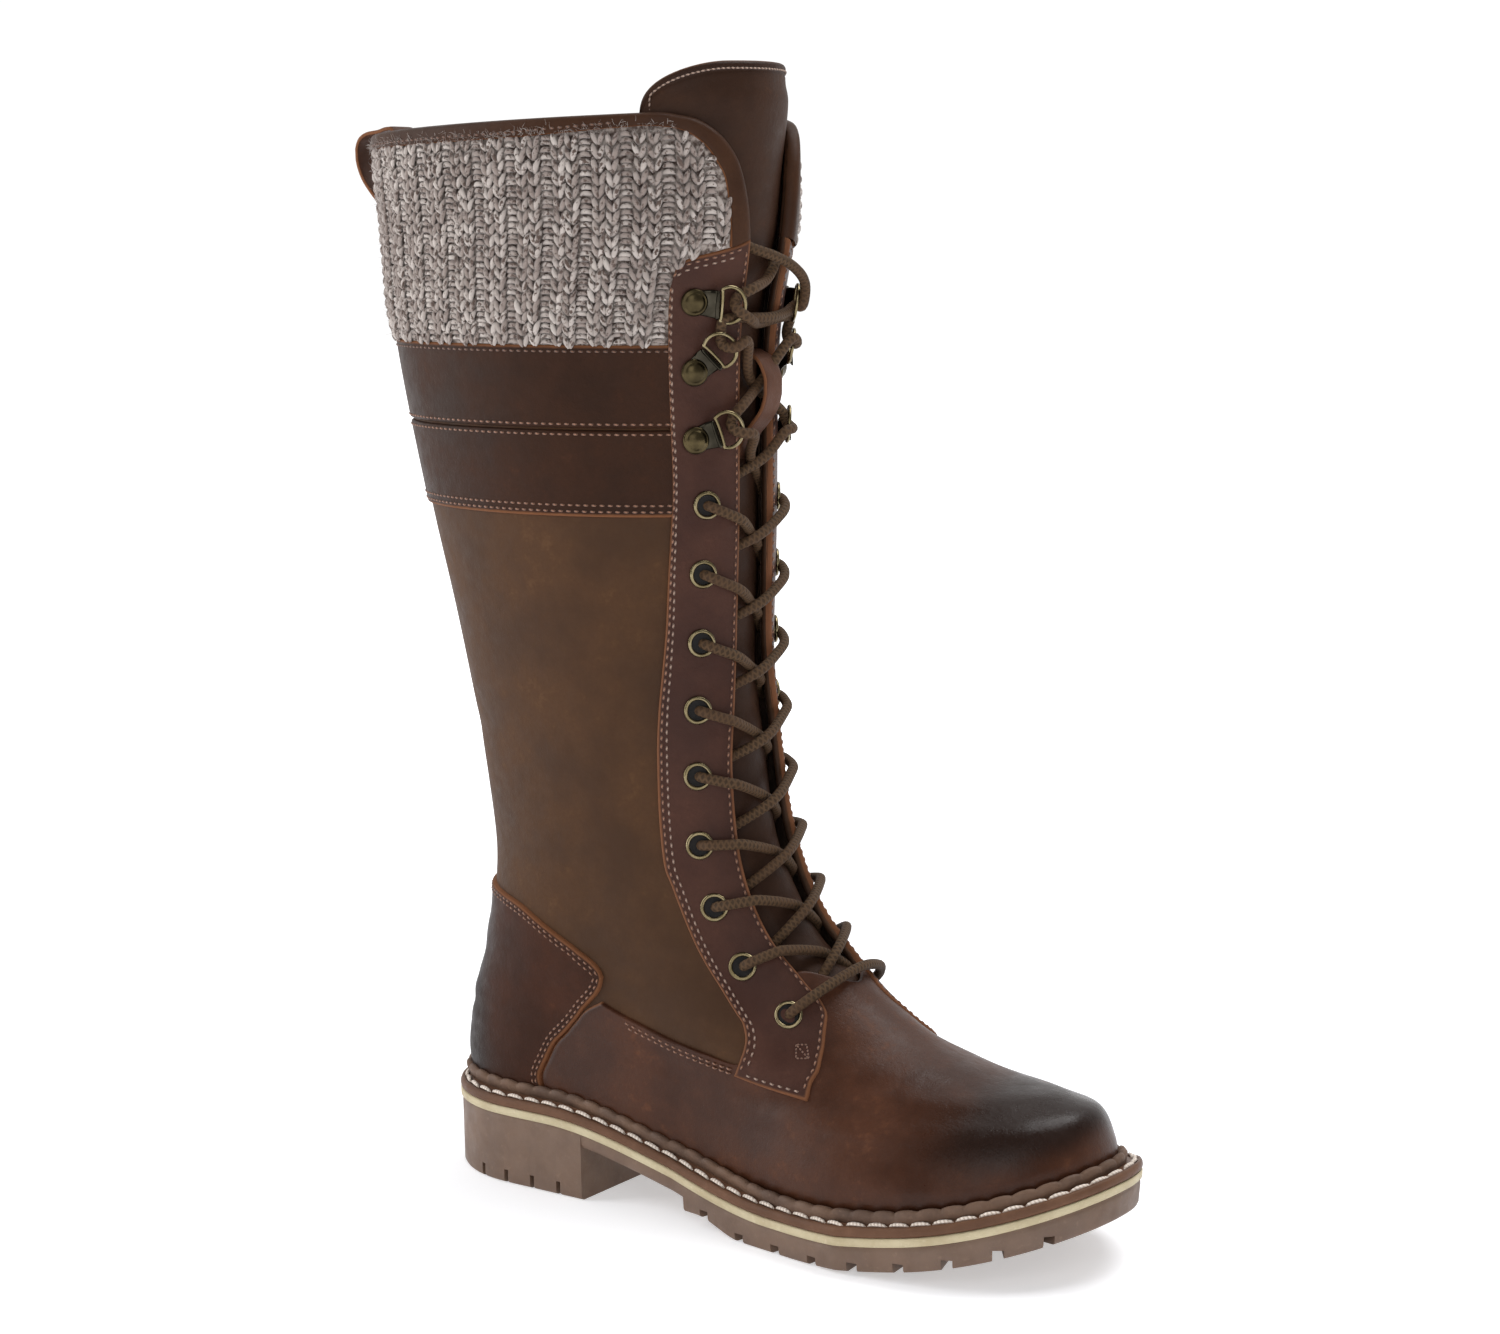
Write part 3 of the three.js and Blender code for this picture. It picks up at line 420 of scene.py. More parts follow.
def leather(name, dark, base, light, burnt, roughness=0.5, grain=1.0, shine=0.12):
    # Waxed leather: slow and fine mottling between three tones, a burnish where "burn" says, a tan
    # raw edge where "edge" is small, scuffs, and a grain of pores and fine wrinkles in the bump.
    m = Nodes(name)
    slow = m.noise(34, 5.0, 0.6)
    fine = m.noise(5, 6.0, 0.65)
    tone = m.blend(m.remap(slow, 0.36, 0.62), dark, base)
    tone = m.blend(m.remap(m.math("ADD", m.math("MULTIPLY", slow, 0.5), m.math("MULTIPLY", fine, 0.5)), 0.54, 0.74),
                   tone, light)
    tone = m.blend(m.math("MULTIPLY", m.remap(m.noise(1.3, 4.0, 0.7), 0.35, 0.7), 0.3), tone, dark)
    burn = m.math("ADD", m.value("burn"), m.math("MULTIPLY", m.math("SUBTRACT", m.noise(12, 4.0), 0.5), 0.35))
    tone = m.blend(m.math("MULTIPLY", m.remap(burn, 0.08, 0.95), 0.92), tone, burnt)
    edge = m.math("ADD", m.value("edge"), m.math("MULTIPLY", m.math("SUBTRACT", m.noise(3, 3.0), 0.5), 0.5))
    near = m.remap(edge, *rawEdge, 1.0, 0.0)
    tone = m.blend(m.math("MULTIPLY", m.remap(edge, 1.0, 5.0, 1.0, 0.0), 0.3), tone, burnt)
    tone = m.blend(m.math("MULTIPLY", near, 0.8), tone, tanEdge)
    wrinkles = m.noise(1.6, 5.0, 0.7)
    pores = m.add("TexVoronoi", {"Vector": m.place, "Scale": 1000 / 1.1}).outputs["Distance"]
    bump = m.bump(wrinkles, 0.16 * grain)
    bump = m.bump(m.remap(pores, 0.0, 0.35), 0.05 * grain, bump)
    bump = m.bump(m.noise(11, 4.0), 0.5 * grain, bump)
    rough = m.remap(m.math("ADD", m.math("MULTIPLY", slow, 0.6), m.math("MULTIPLY", fine, 0.4)), 0.35, 0.65,
                    roughness - 0.09, roughness + 0.1)
    rough = m.math("SUBTRACT", rough, m.math("MULTIPLY", m.value("burn"), 0.1))
    rough = m.math("ADD", rough, m.math("MULTIPLY", near, 0.2))
    return m.finish(tone, rough, bump, Specular_IOR_Level=shine)


materials = {
    "shaft": leather("shaft_leather", linear(62, 41, 26), linear(74, 50, 32), linear(90, 63, 41), linear(38, 24, 16),
                     0.6, 0.7),
    "vamp": leather("vamp_leather", linear(56, 31, 19), linear(71, 40, 24), linear(98, 58, 34), linear(29, 17, 12),
                    0.38, 0.7, 0.18),
    "band": leather("band_leather", linear(42, 24, 14), linear(52, 30, 18), linear(66, 39, 25), linear(27, 16, 11),
                    0.5, 0.8, 0.1),
    "facing": leather("facing_leather", linear(58, 35, 28), linear(70, 44, 35), linear(84, 54, 43), linear(40, 25, 20),
                      0.46, 0.8),
    "tongue": leather("tongue_leather", linear(46, 29, 20), linear(56, 36, 25), linear(70, 46, 32), linear(28, 18, 13),
                      0.5, 0.8, 0.1),
}


def plainLeather(name, colour, dark, roughness, mottle=9, deep=0.12):
    # The lining and footbed: close grain with faint mottling.
    m = Nodes(name)
    tone = m.blend(m.remap(m.noise(mottle, 5.0), 0.35, 0.65), dark, colour)
    return m.finish(tone, roughness, m.bump(m.noise(mottle / 10, 3.0), deep))


materials["lining"] = plainLeather("lining", linear(96, 74, 58), linear(70, 52, 40), 0.8)
materials["footbed"] = plainLeather("footbed", linear(70, 58, 48), linear(50, 40, 34), 0.9)


def rubber(name, colour, dark, light, roughness):
    # Moulded rubber: dusty mottling, lighter scuffs low down, fine moulding grain.
    m = Nodes(name)
    tone = m.blend(m.remap(m.noise(22, 6.0, 0.65), 0.35, 0.65), dark, colour)
    tone = m.blend(m.math("MULTIPLY", m.remap(m.noise(2.2, 5.0, 0.7), 0.55, 0.75), 0.5), tone, light)
    bump = m.bump(m.noise(0.7, 3.0), 0.06)
    bump = m.bump(m.noise(6, 4.0), 0.25, bump)
    return m.finish(tone, m.remap(m.noise(7, 4.0), 0.3, 0.7, roughness - 0.08, roughness + 0.08), bump)


materials["outsole"] = rubber("outsole_rubber", linear(111, 87, 70), linear(98, 76, 61), linear(130, 104, 84), 0.55)
materials["stripe"] = rubber("stripe_rubber", linear(196, 183, 150), linear(176, 160, 126), linear(212, 200, 170), 0.6)
materials["welt"] = leather("welt_leather", linear(92, 65, 49), linear(108, 78, 60), linear(126, 93, 73),
                            linear(66, 44, 33), 0.5, 0.6)
materials["counter"] = leather("counter_leather", linear(50, 28, 18), linear(63, 36, 24), linear(82, 49, 31),
                               linear(28, 17, 12), 0.52, 0.7, 0.08)
materials["strip"] = rubber("storm_strip", linear(104, 78, 60), linear(80, 58, 44), linear(126, 98, 78), 0.7)


def thread(name, colour, dark, twist=1.4):
    # Twisted thread: slanted plies from the "run" (mm along) and "ring" (0 to 1 around) values, darker in the grooves
    # between plies as painted shade.
    m = Nodes(name)
    phase = m.math("MULTIPLY", m.math("ADD", m.math("DIVIDE", m.value("run"), twist), m.value("ring")), 2 * math.pi)
    ply = m.remap(m.math("SINE", phase), -0.9, 0.6)
    # The dark colour sits where the bump is low: painted shade in the grooves.
    tone = m.blend(ply, dark, colour)
    return m.finish(tone, 0.8, m.bump(ply, 0.04), Sheen_Weight=0.2)


materials["paleThread"] = thread("pale_thread", linear(232, 220, 208), linear(198, 182, 168))
materials["tanThread"] = thread("tan_thread", linear(140, 98, 74), linear(92, 62, 46))
materials["dotThread"] = thread("light_thread", linear(158, 132, 116), linear(104, 82, 70))
materials["dullThread"] = thread("dull_thread", linear(112, 78, 60), linear(70, 48, 36))


def metal(name, colour, dark, roughness):
    # Aged plated metal: dark in the recesses of a fine mottling, brushed by handling.
    m = Nodes(name)
    age = m.noise(5, 3.0, 0.5)
    tone = m.blend(m.remap(age, 0.3, 0.75), dark, colour)
    rough = m.remap(age, 0.3, 0.7, roughness + 0.1, roughness)
    return m.finish(tone, rough, m.bump(m.noise(1.6, 2.0), 0.02), Metallic=1.0)


materials["brass"] = metal("aged_brass", linear(136, 124, 96), linear(112, 100, 72), 0.2)
materials["dome"] = metal("olive_brass", linear(80, 70, 48), linear(60, 52, 36), 0.26)
materials["steel"] = metal("pewter", linear(60, 56, 47), linear(42, 39, 32), 0.07)


def flat(name, colour, roughness):
    # One colour, mottled down to six tenths of itself.
    m = Nodes(name)
    tone = m.blend(m.remap(m.noise(3, 3.0), 0.3, 0.7), colour, tuple(0.6 * c for c in colour[:3]) + (1.0,))
    return m.finish(tone, roughness, m.bump(m.noise(0.6, 2.0), 0.05))


# Near-black painted shade for the inside of the eyelet holes.
materials["hole"] = flat("hole_dark", linear(16, 12, 10), 0.9)


def knitYarn():
    # Marled wool: light and dark plies that twist along each leg, each leg with its own shade.
    m = Nodes("knit_yarn")
    spot = m.add("CombineXYZ", {0: m.math("MULTIPLY", m.value("ring"), 3.2),
                                1: m.math("MULTIPLY", m.value("run"), 0.42),
                                2: m.math("MULTIPLY", m.value("tone"), 57.0)}).outputs[0]
    marl = m.add("TexNoise", {"Vector": spot, "Scale": 1.0, "Detail": 3.0, "Roughness": 0.6}).outputs["Fac"]
    tone = m.blend(m.remap(m.math("FRACT", m.math("MULTIPLY", m.value("tone"), 7.3)), 0.15, 0.95),
                   linear(142, 129, 122), linear(184, 174, 167))
    tone = m.blend(m.remap(marl, 0.52, 0.6), tone, linear(84, 68, 60))
    tone = m.blend(m.math("MULTIPLY", m.remap(m.noise(30, 3.0), 0.45, 0.7), 0.3), tone, linear(110, 94, 86))
    fibre = m.add("CombineXYZ", {0: m.math("MULTIPLY", m.value("ring"), 26.0), 1: m.value("run"),
                                 2: m.math("MULTIPLY", m.value("tone"), 31.0)}).outputs[0]
    hair = m.add("TexNoise", {"Vector": fibre, "Scale": 1.0, "Detail": 2.0}).outputs["Fac"]
    return m.finish(tone, 0.95, m.bump(hair, 0.3), Sheen_Weight=0.25)


materials["knit"] = knitYarn()
# Behind the knit: the yarn's light colour mottled with dark, the dark being painted shade of the gaps between
# stitches.
materials["knitBase"] = plainLeather("knit_base_gap_shade", linear(176, 164, 156), linear(78, 63, 56), 0.95, 1.9, 0.5)
materials["bindingLeather"] = leather("binding_leather", linear(50, 30, 19), linear(61, 38, 24), linear(76, 49, 32),
                                      linear(36, 22, 15), 0.48, 0.8, 0.1)
materials["strapLeather"] = leather("strap_leather", linear(74, 47, 35), linear(92, 60, 45), linear(108, 72, 54),
                                    linear(38, 25, 20), 0.5, 0.8)


def woven():
    # Round braided lace: two families of plies crossing along the "run" and round the "ring", darker in the grooves
    # between them as painted shade.
    m = Nodes("woven_lace")
    run, ring = m.math("DIVIDE", m.value("run"), 1.9), m.math("MULTIPLY", m.value("ring"), 3.0)
    one = m.math("SINE", m.math("MULTIPLY", m.math("ADD", run, ring), 2 * math.pi))
    two = m.math("SINE", m.math("MULTIPLY", m.math("SUBTRACT", run, ring), 2 * math.pi))
    weave = m.math("MAXIMUM", one, two)
    # Dark where the weave is low: painted shade in the braid's grooves.
    tone = m.blend(m.remap(weave, -0.2, 0.9), linear(56, 41, 27), linear(80, 60, 41))
    tone = m.blend(m.math("MULTIPLY", m.remap(m.noise(16, 3.0), 0.4, 0.65), 0.4), tone, linear(74, 52, 36))
    return m.finish(tone, 0.75, m.bump(weave, 0.08), Specular_IOR_Level=0.2)


materials["lace"] = woven()
print("materials made")

# Sole unit
# The sole's back and front in x, its shift to the inner side at the toe, and how much of its length
# rounds off at each end. Stations: share of the length, half width outside and inside.
sole = {"back": -37.0, "front": 239.0, "skew": 6, "heelRound": 0.15, "toeRound": 0.21}
soleStations = np.array([[0, 34.5, 34.5], [0.14, 34.5, 34.5], [0.42, 38, 31], [0.7, 53.5, 46], [0.85, 50, 48],
                         [1, 47, 47]])


def solePoint(turn, grow):
    # The sole's outline: half widths by station, rounded off at heel and toe, then moved out along
    # its own normal by grow.
    def outline(r):
        r = (r + 1) % 2 - 1
        t = (1 - np.cos(np.pi * np.abs(r))) / 2
        outer = np.interp(t, soleStations[:, 0], soleStations[:, 1])
        inner = np.interp(t, soleStations[:, 0], soleStations[:, 2])
        half = np.where(r >= 0, -outer, inner) * endRound(t, sole["heelRound"]) * endRound(1 - t, sole["toeRound"])
        return np.stack([mix(sole["back"], sole["front"], t), sole["skew"] * t + half], -1)
    tangent = unit(outline(turn + 0.01) - outline(turn - 0.01))
    return outline(turn) + np.stack([tangent[..., 1], -tangent[..., 0]], -1) * np.asarray(grow)[..., None]


def halfTurns(low, high, count):
    # Turns from low to high at even distances along one side of the outline, clear of both ends.
    t = np.linspace(low, high, 1500)
    run = travelled(solePoint(t, 0.0))
    return np.interp((np.arange(count) + 0.5) / count * run[-1], run, t)


def loopSolid(rings):
    # A closed solid from rings of points (outer side forward, inner side back), capped by strips.
    count = len(rings[0])
    last = (len(rings) - 1) * count
    a = np.arange(count // 2 - 1)
    cap = np.stack([a, a + 1, count - 2 - a, count - 1 - a], -1)
    return np.vstack(rings), np.vstack([quads(len(rings), count, closed=True), last + cap, cap[:, ::-1]])


def soleRings(levels, low=0.0, high=1.0, count=220):
    # Rings of the sole's outline: each level gives its growth and its height as a function of x.
    t = halfTurns(low, high, count)
    turns = np.concatenate([t, -t[::-1]])
    rings = []
    for grow, height in levels:
        ring = solePoint(turns, np.full(2 * count, float(grow)))
        rings.append(np.column_stack([ring, height(ring[:, 0]) if callable(height)
                                      else np.full(2 * count, float(height))]))
    return rings


def above(base, lift):
    # A height function lifted by a fixed amount.
    return lambda x: base(x) + lift


def joined(parts):
    # Several point and face lists as one.
    points, faces, start = [], [], 0
    for p, f in parts:
        points.append(p)
        faces.append(np.asarray(f) + start)
        start += len(p)
    return np.vstack(points), np.vstack(faces)


heelBreast, treadFrom = 38.2, 84  # in x: the heel block's front face and the tread's rear end
grooves = (103, 138, 155, 172, 189, 206)
boxFaces = np.array([[0, 3, 2, 1], [4, 5, 6, 7], [0, 1, 5, 4], [1, 2, 6, 5], [2, 3, 7, 6], [3, 0, 4, 7]])
boxCorners = np.array([[-1, -1, -1], [1, -1, -1], [1, 1, -1], [-1, 1, -1], [-1, -1, 1], [1, -1, 1], [1, 1, 1],
                       [-1, 1, 1]]) / 2


def notchPlaces(side, fromX, step, count):
    # Turns at even steps along the outline from its first point past fromX.
    t = np.linspace(0, 1, 4000)
    ring = solePoint(t * side, 0.0)
    run = travelled(ring)
    start = run[np.argmax(ring[:, 0] >= fromX)]
    return side * np.interp(start + step * np.arange(count), run, t)


def notchBoxes():
    # Slots into the sole's lower edge, as in the part: heel, forefoot and the grooves across.
    boxes = []
    fore, heel = (3.9, 3.4), (1.9, 5.2)
    # First x, step, count, depth, and the slot's width and height, on both sides.
    rows = [(94.5, 17.3, 9, 19.2, fore), (-10.5, 12.45, 4, 12, heel), (-30.5, 1, 1, 12, heel)]
    for side, (fromX, step, count, depth, (wide, tall)) in [(side, r) for r in rows for side in (1, -1)]:
        for turn in notchPlaces(side, fromX, step, count):
            p = solePoint(np.array(turn), 0.0)
            away = unit(solePoint(np.array(turn), 1.0) - p)
            low = 0 if p[0] < heelBreast else treadZ(p[0])
            box = boxCorners * (depth + 6, wide, tall + 3) + (3 - depth / 2, 0, (tall - 3) / 2)
            x = box[:, 0] * away[0] - box[:, 1] * away[1] + p[0]
            y = box[:, 0] * away[1] + box[:, 1] * away[0] + p[1]
            boxes.append((np.column_stack([x, y, box[:, 2] + low]), boxFaces))
    for x in grooves:
        boxes.append((boxCorners * (3.2, 38, 7.5) + (x + 1.6, 3, treadZ(x) - 0.25), boxFaces))
    return joined(boxes)


def cut(target, points, faces):
    # The target less a set of boxes, with the cutter taken away again.
    mesh = bpy.data.meshes.new("cutter")
    mesh.from_pydata((points * mm).tolist(), [], faces.tolist())
    cutter = bpy.data.objects.new("cutter", mesh)
    bpy.context.scene.collection.objects.link(cutter)
    modifier = target.modifiers.new("cut", "BOOLEAN")
    modifier.operation, modifier.solver, modifier.object = "DIFFERENCE", "EXACT", cutter
    bpy.context.view_layer.update()
    shape = bpy.data.meshes.new_from_object(target.evaluated_get(bpy.context.evaluated_depsgraph_get()))
    target.modifiers.clear()
    target.data = shape
    bpy.data.objects.remove(cutter)
    bpy.data.meshes.remove(mesh)


def creased(made, degrees):
    # Smooth shading with the edges beyond this angle left sharp.
    made.data.shade_smooth()
    made.data.set_sharp_from_angle(angle=math.radians(degrees))
    return made


def turnAt(x):
    # The turn at a distance along the sole: the arc cosine that undoes the outline's cosine spacing.
    return math.acos(1 - 2 * (x - sole["back"]) / (sole["front"] - sole["back"])) / math.pi


def overStripe(*levels):
    # Levels by their growth and their lift above the cream stripe's underside.
    return [(grow, above(stripeZ, lift)) for grow, lift in levels]


# Each level, from below: growth past the outline in mm and the height there.
heelLevels = [(-2.0, 0), (-1.0, 0.35), (-0.4, 1.4)] + overStripe((0.0, -3), (-0.05, -1.2), (-0.4, -0.4))
treadLevels = ([(-2.0, treadZ), (-1.0, above(treadZ, 0.35)), (-0.5, above(treadZ, 1.3))]
               + overStripe((0.0, -2.4), (-0.05, -1.2), (-0.4, -0.4)))
plateLevels = overStripe((-2.2, -5.6), (-0.9, -5.1), (-0.35, -4.1), (-0.2, -2), (-0.2, -0.5), (-0.7, 0))
stripeLevels = overStripe((-0.8, -0.3), (0.1, -0.25), (0.6, 0.1), (0.7, 2.4), (0.3, 2.85), (-0.8, 2.95))
weltLevels = overStripe((-0.8, 2.8), (0.0, 3.0), (0.6, 3.5), (0.8, 4.3), (0.65, 5.3), (0.2, 6.3), (-0.7, 6.75),
                        (-1.2, 6.3), (-1.9, 6.2), (-2.5, 6.7), (-5.0, 7.4))
heelBlock = loopSolid(soleRings(heelLevels, high=turnAt(heelBreast), count=90))
tread = loopSolid(soleRings(treadLevels, low=turnAt(treadFrom), count=170))
plate = loopSolid(soleRings(plateLevels))
notches = notchBoxes()
for name, solid, nodes in (("sole_heel", heelBlock, ("outsole",)), ("sole_tread", tread, ()),
                           ("sole_plate", plate, ())):
    made = piece(name, *solid, materials["outsole"], "sole_rubber", nodes)
    if name != "sole_plate":
        cut(made, *notches)
    creased(made, 40)
piece("midsole_stripe_band", *loopSolid(soleRings(stripeLevels)), materials["stripe"], "midsole", ("midsole_stripe",))
piece("welt_bead", *loopSolid(soleRings(weltLevels)), materials["welt"], "welt", ("welt",),
      {"edge": 9.0, "burn": 0.15})
print("sole made")


# Stitches and cords
def frames(points):
    # Unit tangents of a line and, for each, the two directions across it, carried along without twist.
    tangent = unit(np.gradient(points, axis=0))
    seed = np.array([0.0, 0.0, 1.0]) if abs(tangent[0][2]) < 0.9 else np.array([1.0, 0.0, 0.0])
    first = unit(np.cross(tangent[0], seed))
    across = [first]
    for t in tangent[1:]:
        moved = across[-1] - t * np.dot(across[-1], t)
        across.append(unit(moved))
    across = np.array(across)
    return tangent, across, np.cross(tangent, across)


def tube(points, radius, sides=10, flat=1.0, normals=None, boxy=1.0, tip=1.0):
    # A cord along points with rounded ends; radius may vary, flat squeezes it along the normals, and
    # a boxy power below one squares its section and a tip below one flattens its ends.
    points = np.asarray(points, float)
    tangent, across, other = frames(points)
    if normals is not None:
        other = unit(normals - tangent * np.sum(normals * tangent, 1, keepdims=True))
        across = np.cross(other, tangent)
    radius = np.broadcast_to(radius, len(points)).astype(float)
    cap = np.array([0.02, 0.5, 0.87])
    slide = np.array([-1.0, -0.87, -0.5]) * tip
    centres = np.vstack([points[0] + tangent[0] * radius[0] * slide[:, None], points,
                         points[-1] - tangent[-1] * radius[-1] * slide[::-1, None]])
    radii = np.concatenate([radius[0] * cap, radius, radius[-1] * cap[::-1]])
    index = np.clip(np.arange(len(centres)) - 3, 0, len(points) - 1)
    angle = circle(sides)
    wide, tall = (np.sign(f) * np.abs(f) ** boxy for f in (np.cos(angle), np.sin(angle)))
    ring = wide[None, :, None] * across[index][:, None] + tall[None, :, None] * other[index][:, None] * flat
    grid = centres[:, None] + ring * radii[:, None, None]
    run = travelled(centres)
    values = {"run": np.repeat(run, sides), "ring": np.tile(np.arange(sides) / sides, len(centres))}
    return grid.reshape(-1, 3), quads(len(centres), sides, closed=True), values


# The upper's pieces
# Edges in turn and row, outer side, from the photo through the fitted camera.
stayRear = [(.557, 3.51), (.595, 4.14), (.640, 4.8), (.661, 5.23), (.664, 5.47), (.666, 5.94), (.666, 6.43),
            (.668, 6.9), (.667, 7.4), (.664, 7.65), (.678, 8.08), (.701, 8.49), (.718, 8.74), (.741, 9.03),
            (.759, 9.3), (.770, 9.57), (.780, 9.83), (.788, 10.1), (.790, 10.4), (.789, 11.0), (.785, 11.38),
            (.787, 11.5)]
stayTop = [(.787, 11.5), (.789, 11.59), (.795, 11.665), (.806, 11.71), (.826, 11.745), (.87, 11.8), (.905, 11.85),
           (.93, 11.9)]
stayFront = [(.624, 3.07), (.645, 3.48), (.670, 3.87), (.700, 4.22), (.730, 4.57), (.760, 4.88), (.790, 5.2),
             (.815, 5.45), (.830, 5.6), (.841, 5.84), (.838, 6.1), (.836, 6.35), (.830, 6.7), (.830, 7.11),
             (.834, 7.45), (.843, 7.81), (.858, 8.15), (.876, 8.48), (.907, 8.86), (.926, 9.2), (.935, 9.7),
             (.939, 10.2), (.940, 10.8), (.937, 11.3), (.930, 11.9)]
stayBottom = [(.557, 3.51), (.590, 3.29), (.624, 3.07)]
collarOuter = [(0, 13), (.4, 13), (.65, 13), (.753, 13), (.784, 12.97), (.816, 12.92), (.847, 12.82), (.872, 12.7),
               (.895, 12.54), (.911, 12.34), (.922, 12.13), (.930, 11.9)]
bindingInner = [(0, 12.8), (.253, 12.8), (.526, 12.8), (.690, 12.85), (.740, 12.86), (.780, 12.83), (.807, 12.77),
                (.832, 12.66), (.853, 12.51), (.866, 12.39), (.876, 12.13), (.884, 11.82)]
counterFront = [(.284, .17), (.283, .76), (.294, 1.44), (.320, 2.7), (.380, 4.27), (.438, 5.27), (.458, 5.72)]
counterTop = [(.458, 5.72), (.455, 5.96), (.43, 6.2), (.407, 6.4), (.332, 6.82), (.25, 6.97), (.132, 7.06), (0, 7.08)]
wingTop = [(.43, 4.95), (.451, 4.72), (.484, 4.47), (.513, 4.25), (.549, 4.12), (.582, 4.01), (.62, 4.3), (.66, 4.85),
           (.70, 5.35), (.76, 5.9), (.84, 6.3), (.92, 6.2), (1, 6.08)]


def arr(points):
    # A list of pairs as an array.
    return np.array(points, float)


def inner(points):
    # A line of the outer side carried to the inner side. In front it keeps its distance from the
    # middle of the boot; further back it keeps its turn.
    p = arr(points)
    place = formPoint(p[:, 0], p[:, 1])
    wanted = -place[:, 1]
    fine = np.linspace(0.5, 1, 400)
    found = []
    for (turn, row), y in zip(p, wanted):
        ys = formPoint(-fine, row)[:, 1]
        front = np.interp(-y, -ys, fine)
        found.append((-mix(turn, front, ramp((turn - 0.6) / 0.2)), row))
    return arr(found)


def edgeTurn(line, rows):
    # The turn of an edge line at given rows.
    p = arr(line)
    order = np.argsort(p[:, 1])
    return np.interp(rows, p[order, 1], p[order, 0])


def edgeTurnIn(line, rows):
    # The turn, below zero, of the same edge on the inner side.
    return -edgeTurn(np.abs(inner(line)), rows)


def between(start, end, share, rows):
    # A grid from one edge's turns to another's, and its rows in the same shape.
    turn = start[:, None] + (end - start)[:, None] * share[None, :]
    return turn, np.broadcast_to(rows[:, None], turn.shape)


def flipped(points):
    # The same turns on the inner side.
    return [(-turn, row) for turn, row in points]


# The front edge of the shaft wall: under the facings low down, along the throat, round the collar's corner.
wallFront = arr([(.56, 3.3), (.62, 4.0), (.68, 5.0), (.76, 5.6), (.83, 5.95)] + [p for p in stayFront if p[1] > 6]
                + collarOuter[::-1][1:9])


# Scuffs on the toe: centre in x and y, then reach along each.
scuffs = [(201, 17, 2.2, 1.3), (207, 20, 1.4, 2.4)]


def burnAt(turn, row, points):
    # Burnish: dark at the toe, round the heel and along the feather line.
    x, y, z = np.moveaxis(points, -1, 0)
    toe = ramp((x - 168) / 40) * (1 - 0.6 * ramp((x - 223) / 12)) * (0.1 + 0.9 * ramp((row - 0.5) / 1.5))
    for atX, atY, reachX, reachY in scuffs:
        toe = toe - 1.1 * np.exp(-(((x - atX) / reachX) ** 2 + ((y - atY) / reachY) ** 2))
    heel = ramp((-x + 2) / 30) * ramp((124 - z) / 20)
    low = ramp((1.0 - row) / 0.9) * 0.45
    return np.clip(np.maximum(np.maximum(toe, heel), low), 0, 1)


def shaftSolid():
    # An outer and an inner skin at the wall's two heights, joined along all four edges.
    rows = np.unique(np.concatenate([np.linspace(3.3, 9, 90), np.linspace(9, 12, 40), np.linspace(12, 12.995, 60)]))
    front = edgeTurn(wallFront, rows)
    frontIn = edgeTurnIn(wallFront, rows)
    share = np.concatenate([np.linspace(0, 0.03, 6)[:-1], np.linspace(0.03, 0.97, 230), np.linspace(0.97, 1, 6)[1:]])
    turn, row = between(front, frontIn, share, rows)
    turn = turn[:, ::-1]
    outer = raised(turn, row, 0.0)
    back = raised(turn, row, -wall + 0.2)
    n, c = turn.shape
    ids = np.arange(n * c).reshape(n, c)
    below = ids + n * c
    strips = []
    for a, b in ((ids[0], below[0]), (below[-1], ids[-1]), (below[:, 0], ids[:, 0]), (ids[:, -1], below[:, -1])):
        strips.append(np.stack([b[:-1], b[1:], a[1:], a[:-1]], -1))
    faces = np.vstack([quads(n, c), quads(n, c)[:, ::-1] + n * c] + strips)
    edge = edgeDistance(outer, ("left", "right"))
    burn = np.zeros_like(edge)
    values = {"edge": np.concatenate([edge.ravel() + 1.2, np.full(n * c, 3.0)]),
              "burn": np.concatenate([burn.ravel(), burn.ravel() + 1])}
    return piece("shaft_wall", np.vstack([outer.reshape(-1, 3), back.reshape(-1, 3)]), faces, materials["shaft"],
                 "shaft_leather", ("upper",), values)


shaftSolid()


def lining():
    # The inside: closed below the throat, open above it, facing inwards.
    rows = np.concatenate([np.linspace(0, 6, 50), np.linspace(6.05, 12.99, 90)])
    front = np.where(rows < 6.04, 0.9999, edgeTurn(wallFront, rows))
    frontIn = np.where(rows < 6.04, -0.9999, edgeTurnIn(wallFront, rows))
    turn, row = between(front, frontIn, np.linspace(0, 1, 180), rows)
    points = raised(turn, row, -wall)
    piece("lining", points, quads(*turn.shape), materials["lining"], "footbed")


lining()
loopTurns = (np.arange(100) + 0.5) / 100
loopTurns = np.concatenate([loopTurns, -loopTurns[::-1]])
bed = formPoint(loopTurns, np.zeros(200)) - formNormal(loopTurns, np.zeros(200)) * 3.4
footbedRings = [np.column_stack([bed[:, :2], weltZ(bed[:, 0]) + lift]) for lift in (0.3, 4.0)]
piece("footbed", *loopSolid(footbedRings), materials["footbed"], "footbed", ("insole",))

# Counter: one piece round the heel.
turn, row = patch(flipped(counterFront[:1]) + [(0, .17)] + counterFront[:1], counterFront,
                  flipped(counterTop[:-1]) + counterTop[::-1], flipped(counterFront), 150, 90)
overlay("counter_leather", turn[:, ::-1], row[:, ::-1], thickness["overlay"], materials["counter"], "overlay_leather",
        ("counter",), ("left", "right", "top"), values={"burn": burnAt})


